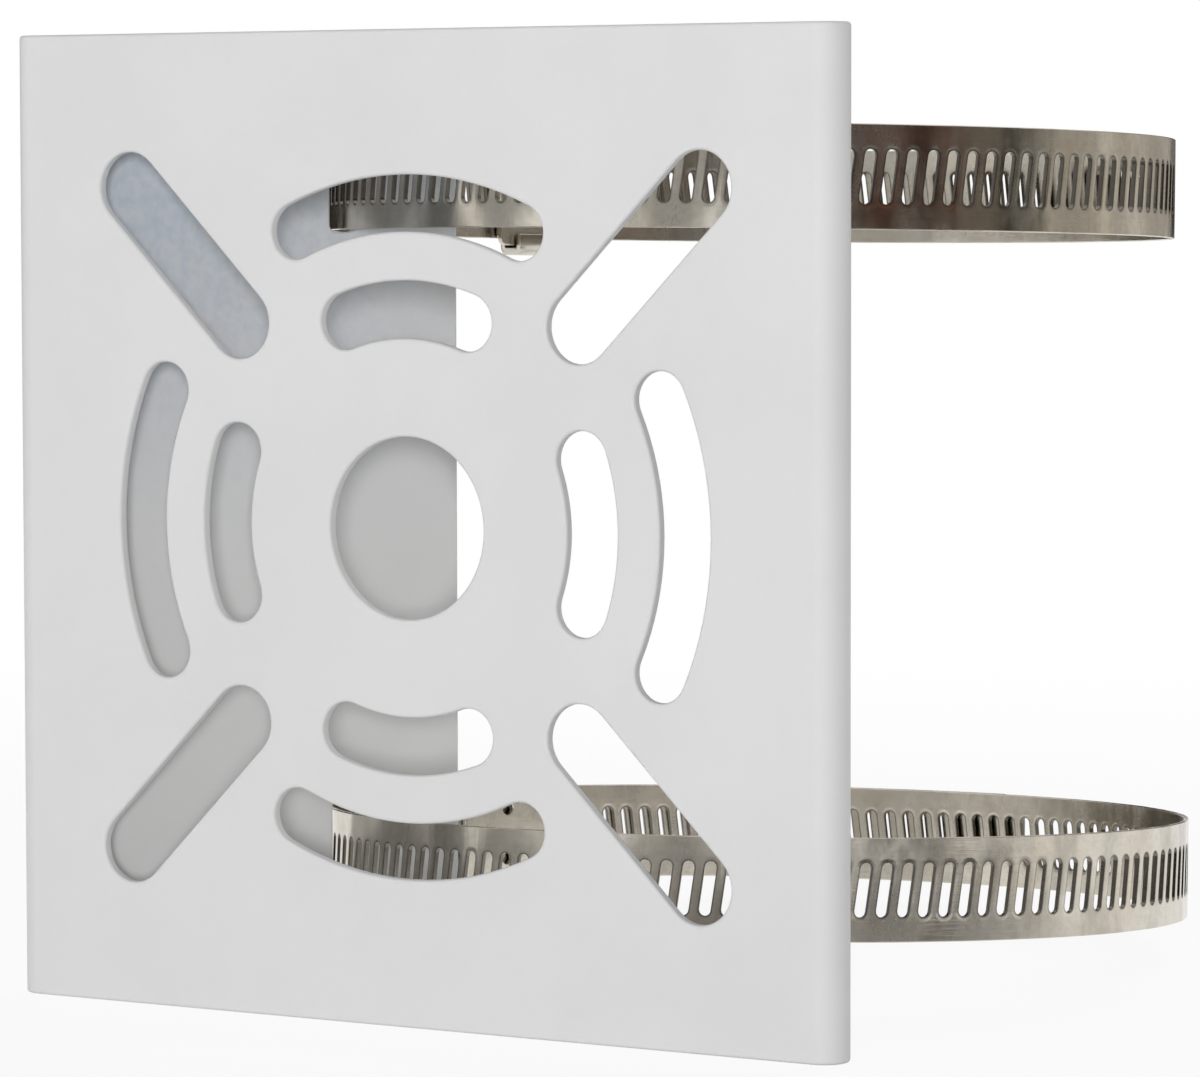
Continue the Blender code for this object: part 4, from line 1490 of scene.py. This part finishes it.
@dataclass
class WormScrew:
    """Worm screw: necks, thread, collar, chamfered hexagon head and drive slot."""

    layout: ClampLayout
    thread_depth: float = 0.0009
    thread_steps: int = 96
    flank_slope: float = 5.0
    root_share: float = 0.9
    run_out: float = 0.0006
    end_float: float = 0.0003
    tip_chamfer: float = 0.0003
    collar_radius: float = 0.0040
    collar_thickness: float = 0.0010
    collar_chamfer: float = 0.0002
    hexagon: float = 0.0068
    hexagon_height: float = 0.0042
    cone_depth: float = 0.0011
    cone_width: float = 0.0007
    cone_steps: int = 6
    top_share: float = 0.93
    drive_width: float = 0.0012
    drive_depth: float = 0.0016
    sides: int = 72
    sharp_from: float = math.radians(35.0)

    def __post_init__(self) -> None:
        """Works out the places along the screw, counted from the housing's middle."""
        half = self.layout.housing_length / 2
        self.worm = half - self.layout.housing_sheet - self.end_float
        self.seat = half + self.end_float
        self.head = self.seat + self.collar_thickness
        self.top = self.head + self.hexagon_height
        self.root = self.layout.thread_radius - self.thread_depth
        self.angle = 2 * math.pi * np.arange(self.sides) / self.sides

    def turned_rows(self, *rows: Pair) -> tuple[np.ndarray, np.ndarray]:
        """Round stretches of the screw, each row a place and its radius."""
        places, radii = np.array(rows).T
        return places, radii[:, None] * np.ones(self.sides)

    def thread_rows(self) -> tuple[np.ndarray, np.ndarray]:
        """Worm: root plus depth times a trapezoid wave of (place / pitch - angle / turn).

        The wave fades out towards both ends of the worm.

        Returns:
            Places along the screw and, for each, the radius round it.
        """
        places = np.linspace(-self.worm, self.worm, self.thread_steps + 1)[1:-1]
        level = places[:, None]
        phase = (level / self.layout.pitch - self.angle / (2 * math.pi)) % 1.0
        wave = (0.5 - np.abs(phase - 0.5)) * self.flank_slope - self.root_share
        fade = np.minimum(1.0, (self.worm - np.abs(level)) / self.run_out)
        return places, self.root + self.thread_depth * np.clip(wave, 0.0, 1.0) * fade

    def head_rows(self) -> tuple[np.ndarray, np.ndarray]:
        """Head: the smaller of the hexagon and a cone that chamfers its corners.

        Returns:
            Places along the screw and, for each, the radius round it.
        """
        sector = math.pi / 3
        six = self.hexagon / 2 / np.cos((self.angle % sector) - sector / 2)
        share = np.linspace(0.0, 1.0, self.cone_steps + 1)
        cone = self.hexagon / math.sqrt(3) - self.cone_width * share[:, None] ** 2
        chamfered = np.minimum(six, cone)
        places = np.concatenate([[self.head], self.top - self.cone_depth * (1 - share), [self.top] * 2])
        return places, np.vstack([six, chamfered, chamfered[-1] * self.top_share, 0.0 * six])

    def surface(self) -> Patch:
        """Surface radius(place, angle) of the whole screw, without its drive slot.

        Returns:
            The closed surface in the screw's own space, where its axis is X.
        """
        worm, root, seat, head = self.worm, self.root, self.seat, self.head
        neck, tip = self.layout.neck_radius, self.tip_chamfer
        collar, rim = self.collar_radius, self.collar_chamfer
        stretches = (
            self.turned_rows((-seat, 0.0), (-seat, neck - tip), (tip - seat, neck), (-worm, neck),
                             (-worm, root)),
            self.thread_rows(),
            self.turned_rows((worm, root), (worm, neck), (seat, neck), (seat, collar - rim),
                             (seat + rim, collar), (head - rim, collar), (head, collar - rim)),
            self.head_rows(),
        )
        place = np.concatenate([places for places, _ in stretches])[:, None] + 0 * self.angle
        radius = np.concatenate([radii for _, radii in stretches])
        across = (radius * np.cos(self.angle), radius * np.sin(self.angle))
        points = np.dstack([place, *across]).reshape(-1, 3)
        blank = np.dstack([place, self.layout.thread_radius * self.angle + 0 * place]).reshape(-1, 2)
        return Patch.bare(points, blank, [grid_faces(len(place), self.sides, closed=True)])

    def on_axis(self, patch: Patch) -> Patch:
        """Moves a patch from the screw's own space to its place by the ring.

        Args:
            patch: Patch in the screw's space.

        Returns:
            The same patch in space.
        """
        turn = np.array([[0.0, 1.0, 0.0], [-1.0, 0.0, 0.0], [0.0, 0.0, 1.0]])
        points = patch.points @ turn.T + (self.layout.screw_radius, 0.0, 0.0)
        return self.layout.placed(Patch.bare(points, patch.blank, patch.faces))

    def slot_cutter(self) -> bpy.types.Object:
        """Block in the place of the drive slot.

        Returns:
            The block, which goes once it has cut the slot.
        """
        size = np.array([self.drive_depth, self.hexagon, self.drive_width / 2])
        signs = np.array([(x, y, z) for x in (-1, 1) for y in (-1, 1) for z in (-1, 1)], dtype=float)
        box = signs * size + (self.top, 0.0, 0.0)
        quads = np.array([(0, 1, 3, 2), (4, 6, 7, 5), (0, 4, 5, 1),
                          (2, 3, 7, 6), (0, 2, 6, 4), (1, 5, 7, 3)])
        placed = self.on_axis(Patch.bare(box, box[:, :2], [quads])).closed_out()
        return new_object("drive_slot_cutter", new_mesh("drive_slot_cutter", placed.points, placed.faces))

    def make(self) -> bpy.types.Object:
        """Makes the screw in its place and cuts the drive slot across its head.

        Returns:
            The finished piece.
        """
        whole = self.on_axis(self.surface()).welded().closed_out()
        piece = whole.rough_piece(self.layout.name + "_slotted_screw")
        cutter = self.slot_cutter()
        cut = piece.modifiers.new("drive_slot", "BOOLEAN")
        cut.operation = "DIFFERENCE"
        cut.solver = "EXACT"
        cut.object = cutter
        finish_modifiers(piece, self.sharp_from)
        bpy.data.objects.remove(cutter, do_unlink=True)
        return piece


@dataclass
class BandClamp:
    """One clamp: a perforated band with a saddle, a pressed housing and a worm screw."""

    layout: ClampLayout
    seed: float

    def build(self, shop: Workshop, pressed: bpy.types.Material,
              plated: bpy.types.Material) -> list[bpy.types.Object]:
        """Makes the clamp's four pieces and dresses them.

        Args:
            shop: Shared effects, for the band's own finish.
            pressed: Finish of the housing and the saddle.
            plated: Finish of the worm screw.

        Returns:
            The finished pieces.
        """
        layout, name = self.layout, self.layout.name
        band = PerforatedBand(layout)
        steel = RolledStainless(name + "_stainless_strip", self.seed).material(shop, band.slot_sizes())
        body = name + "_clamp"
        return [
            dress(band.make(), steel, Slot.STRIP, body, name + "_band"),
            dress(SaddlePlate(layout).make(), pressed, Slot.STRIP, body, name + "_saddle"),
            dress(PressedHousing(layout).make(), pressed, Slot.STRIP, body, name + "_housing"),
            dress(WormScrew(layout).make(), plated, Slot.SCREW, name + "_screw", name + "_worm_screw"),
        ]


# Studio


def glowing_material(name: str) -> tuple[bpy.types.Material, Bench]:
    """Starts a material of the stage, which has no Principled shader.

    Args:
        name: Name of the material.

    Returns:
        The material and its empty tree.
    """
    material = bpy.data.materials.new(name)
    material.use_nodes = True
    material.node_tree.nodes.clear()
    return material, Bench(material.node_tree)


@dataclass(frozen=True)
class Card:
    """Curved streaked card round the clamps, seen only in reflections, that gives the metal its depth.

    Its arc is in degrees from +X, its levels are the heights of its edges, and its two colours are
    that of most of it and that of its streaks.
    """

    name: str
    arc: Pair
    levels: Pair
    dark: Triple
    light: Triple
    centre: Pair = (0.03, 0.04)
    radius: float = 0.55
    steps: int = 48
    streak_stretch: Triple = (9.0, 9.0, 1.5)
    streak_scale: float = 1.6
    streak_detail: float = 3.0
    streak_span: Pair = (0.44, 0.66)

    def material(self) -> bpy.types.Material:
        """Makes the card glow in its own colours.

        Returns:
            The material.
        """
        material, bench = glowing_material(self.name)
        place = bench.add("ShaderNodeTexCoord").outputs["Object"]
        upright = bench.add("ShaderNodeMapping", {"Vector": place, "Scale": self.streak_stretch})
        values = {"Vector": upright.outputs[0], "Scale": self.streak_scale, "Detail": self.streak_detail}
        noise = bench.add("ShaderNodeTexNoise", values)
        streaks = bench.ramp(noise.outputs["Fac"], self.streak_span)
        tint = bench.blend(streaks, 1.0, self.dark, self.light)
        glow = bench.add("ShaderNodeEmission", {"Color": tint, "Strength": 1.0})
        bench.add("ShaderNodeOutputMaterial", {"Surface": glow.outputs[0]})
        return material

    def build(self) -> None:
        """Sets up the card: a strip of a cylinder."""
        angle = np.radians(np.linspace(*self.arc, self.steps + 1))
        ring = np.array(self.centre) + self.radius * rays(angle)[:, :2]
        rows = [np.hstack([ring, np.full((len(ring), 1), level)]) for level in self.levels]
        mesh = new_mesh(self.name, np.concatenate(rows), [grid_faces(2, len(ring))])
        mesh.materials.append(self.material())
        card = new_object(self.name, mesh)
        for kind in ("camera", "diffuse", "shadow", "transmission", "volume_scatter"):
            setattr(card, "visible_" + kind, False)


@dataclass(frozen=True)
class Softbox:
    """Square soft lamp that points at the object, and that the metal doesn't mirror."""

    name: str
    place: Triple
    size: float
    power: float
    target: Triple = (0.0, 0.04, 0.06)

    def build(self) -> None:
        """Sets up the lamp."""
        data = bpy.data.lights.new(self.name, "AREA")
        data.size = self.size
        data.energy = self.power
        lamp = new_object(self.name, data)
        lamp.visible_glossy = False
        ray = Vector(self.target) - Vector(self.place)
        turn = ray.to_track_quat("-Z", "Y").to_matrix().to_4x4()
        lamp.matrix_world = Matrix.Translation(self.place) @ turn


@dataclass(frozen=True)
class PhotoCamera:
    """Camera at the photograph's viewing angle, level but for a small roll. Angles are in degrees."""

    target: Triple = (0.0, -0.00075, 0.059)
    azimuth: float = 33.76
    elevation: float = 3.53
    distance: float = 0.6749
    yaw: float = 31.81
    pitch: float = 3.61
    roll: float = -0.11
    lens: float = 171.74
    sensor: float = 36.0
    clip: Pair = (0.01, 30.0)

    @staticmethod
    def heading(turn: float, tilt: float) -> Vector:
        """Direction that is turned from +Y towards -X and tilted down, both in degrees."""
        turn, tilt = math.radians(turn), math.radians(tilt)
        return Vector((-math.sin(turn) * math.cos(tilt), math.cos(turn) * math.cos(tilt), -math.sin(tilt)))

    def build(self) -> None:
        """Sets up the camera."""
        back = -self.heading(self.azimuth, self.elevation)
        ahead = self.heading(self.yaw, self.pitch)
        yaw, roll = math.radians(self.yaw), math.radians(self.roll)
        right = Vector((math.cos(yaw), math.sin(yaw), 0.0))
        up = right.cross(ahead)
        across = right * math.cos(roll) + up * math.sin(roll)
        upright = up * math.cos(roll) - right * math.sin(roll)
        data = bpy.data.cameras.new("photo_camera")
        data.lens = self.lens
        data.sensor_width = self.sensor
        data.clip_start, data.clip_end = self.clip
        camera = new_object("photo_camera", data)
        turn = Matrix((across, upright, -ahead)).transposed().to_4x4()
        camera.matrix_world = Matrix.Translation(Vector(self.target) + back * self.distance) @ turn
        bpy.context.scene.camera = camera


@dataclass(frozen=True)
class Studio:
    """Pale floor, soft lamps, white surroundings and what the metal mirrors."""

    sky_level: float = 0.33
    floor_radius: float = 3.0
    floor_sides: int = 64
    floor_colour: Triple = (0.88, 0.88, 0.88)
    floor_near: float = 0.90
    floor_fade: Pair = (0.20, 0.60)
    shade_centre: Triple = (0.19, -0.04, 0.0)
    shade_fade: Pair = (0.08, 0.19)
    cards: tuple[Card, ...] = (
        Card("black_card", (-64.0, 1.0), (0.04, 0.125), BLACK, (0.020, 0.015, 0.012)),
        Card("brown_card", (-64.0, 1.0), (0.125, 0.45), (0.012, 0.008, 0.006), (0.22, 0.105, 0.07)),
        Card("streak_card", (1.0, 6.0), (0.04, 0.45), (0.10, 0.075, 0.06), (0.30, 0.24, 0.19)),
        Card("olive_card", (6.0, 27.0), (0.04, 0.45), (0.03, 0.028, 0.022), (0.24, 0.215, 0.175)),
        Card("grey_card", (27.0, 96.0), (0.04, 0.45), (0.38, 0.355, 0.315), (0.74, 0.71, 0.66)),
        Card("left_card", (96.0, 168.0), (0.05, 0.45), BLACK, (0.040, 0.034, 0.028)),
    )
    lamps: tuple[Softbox, ...] = (
        Softbox("camera_softbox", (0.685, -1.03, 0.148), 0.10, 7.2),
        Softbox("left_softbox", (-0.60, -1.04, 0.25), 0.6, 3.8),
        Softbox("back_softbox", (-0.05, 1.22, 0.60), 0.8, 9.0),
    )

    def surroundings(self) -> None:
        """World that is white to the camera and in reflections, and a plain soft light otherwise."""
        world = bpy.data.worlds.new("white_surroundings")
        bpy.context.scene.world = world
        world.use_nodes = True
        bench = Bench(world.node_tree)
        paths = bench.add("ShaderNodeLightPath").outputs
        seen = bench.maths("MAXIMUM", paths["Is Camera Ray"], paths["Is Glossy Ray"])
        seen = bench.maths("MAXIMUM", seen, paths["Is Transmission Ray"])
        background = world.node_tree.nodes["Background"]
        background.inputs["Color"].default_value = WHITE
        level = bench.ramp(seen, (0.0, 1.0), (self.sky_level, 1.0))
        world.node_tree.links.new(level, background.inputs["Strength"])

    def floor_material(self) -> bpy.types.Material:
        """Pale matte floor that the camera sees fade into white.

        Reflections see it as white too, but for a shaded round patch beside the object.

        Returns:
            The material.
        """
        material, bench = glowing_material("pale_floor")
        place = bench.add("ShaderNodeTexCoord").outputs["Object"]
        away = bench.add("ShaderNodeVectorMath", {0: place}, operation="LENGTH").outputs["Value"]
        far = bench.ramp(away, self.floor_fade, (self.floor_near, 1.0))
        ends = {0: place, 1: self.shade_centre}
        aside = bench.add("ShaderNodeVectorMath", ends, operation="DISTANCE").outputs["Value"]
        paths = bench.add("ShaderNodeLightPath").outputs
        seen, mirrored = paths["Is Camera Ray"], paths["Is Glossy Ray"]
        share = bench.plus(bench.times(seen, far), mirrored)
        level = bench.plus(seen, bench.times(mirrored, bench.ramp(aside, self.shade_fade)))
        matte = bench.add("ShaderNodeBsdfDiffuse", {"Color": (*self.floor_colour, 1.0)})
        white = bench.add("ShaderNodeEmission", {"Color": WHITE, "Strength": level})
        mixed = bench.add("ShaderNodeMixShader", {0: share, 1: matte.outputs[0], 2: white.outputs[0]})
        bench.add("ShaderNodeOutputMaterial", {"Surface": mixed.outputs[0]})
        return material

    def floor(self) -> None:
        """Lays the round floor, which keeps the object's shadow."""
        angle = 2 * math.pi * np.arange(self.floor_sides) / self.floor_sides
        rim = self.floor_radius * rays(angle)
        mesh = new_mesh("pale_floor", rim, [np.arange(self.floor_sides)[None]])
        mesh.materials.append(self.floor_material())
        new_object("pale_floor", mesh)

    def build(self) -> None:
        """Sets up the whole studio."""
        PhotoCamera().build()
        self.surroundings()
        self.floor()
        for thing in (*self.cards, *self.lamps):
            thing.build()
        bpy.context.scene.view_settings.view_transform = "Standard"


def main() -> None:
    """Builds the studio, the bracket and the two clamps."""
    logging.basicConfig(level=logging.INFO, format="%(name)s %(message)s")
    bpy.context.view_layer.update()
    Studio().build()
    shop = Workshop()
    pieces = FoldedBracket().build(PowderCoat().material(shop))
    plated = ZincPlate().material(shop)
    pressed = RolledStainless("stainless_pressings", 0.7).material(shop)
    upper = BandClamp(ClampLayout("upper", 0.0544, math.radians(152.0)), 0.0)
    lower = BandClamp(ClampLayout("lower", 0.0557, math.radians(159.5)), 1.9)
    for clamp in (upper, lower):
        pieces += clamp.build(shop, pressed, plated)
    for piece in pieces:
        triangles = sum(len(face.vertices) - 2 for face in piece.data.polygons)
        LOG.info("%s: %d triangles in %s", piece.name, triangles, piece.active_material.name)


if __name__ == "__main__":
    main()
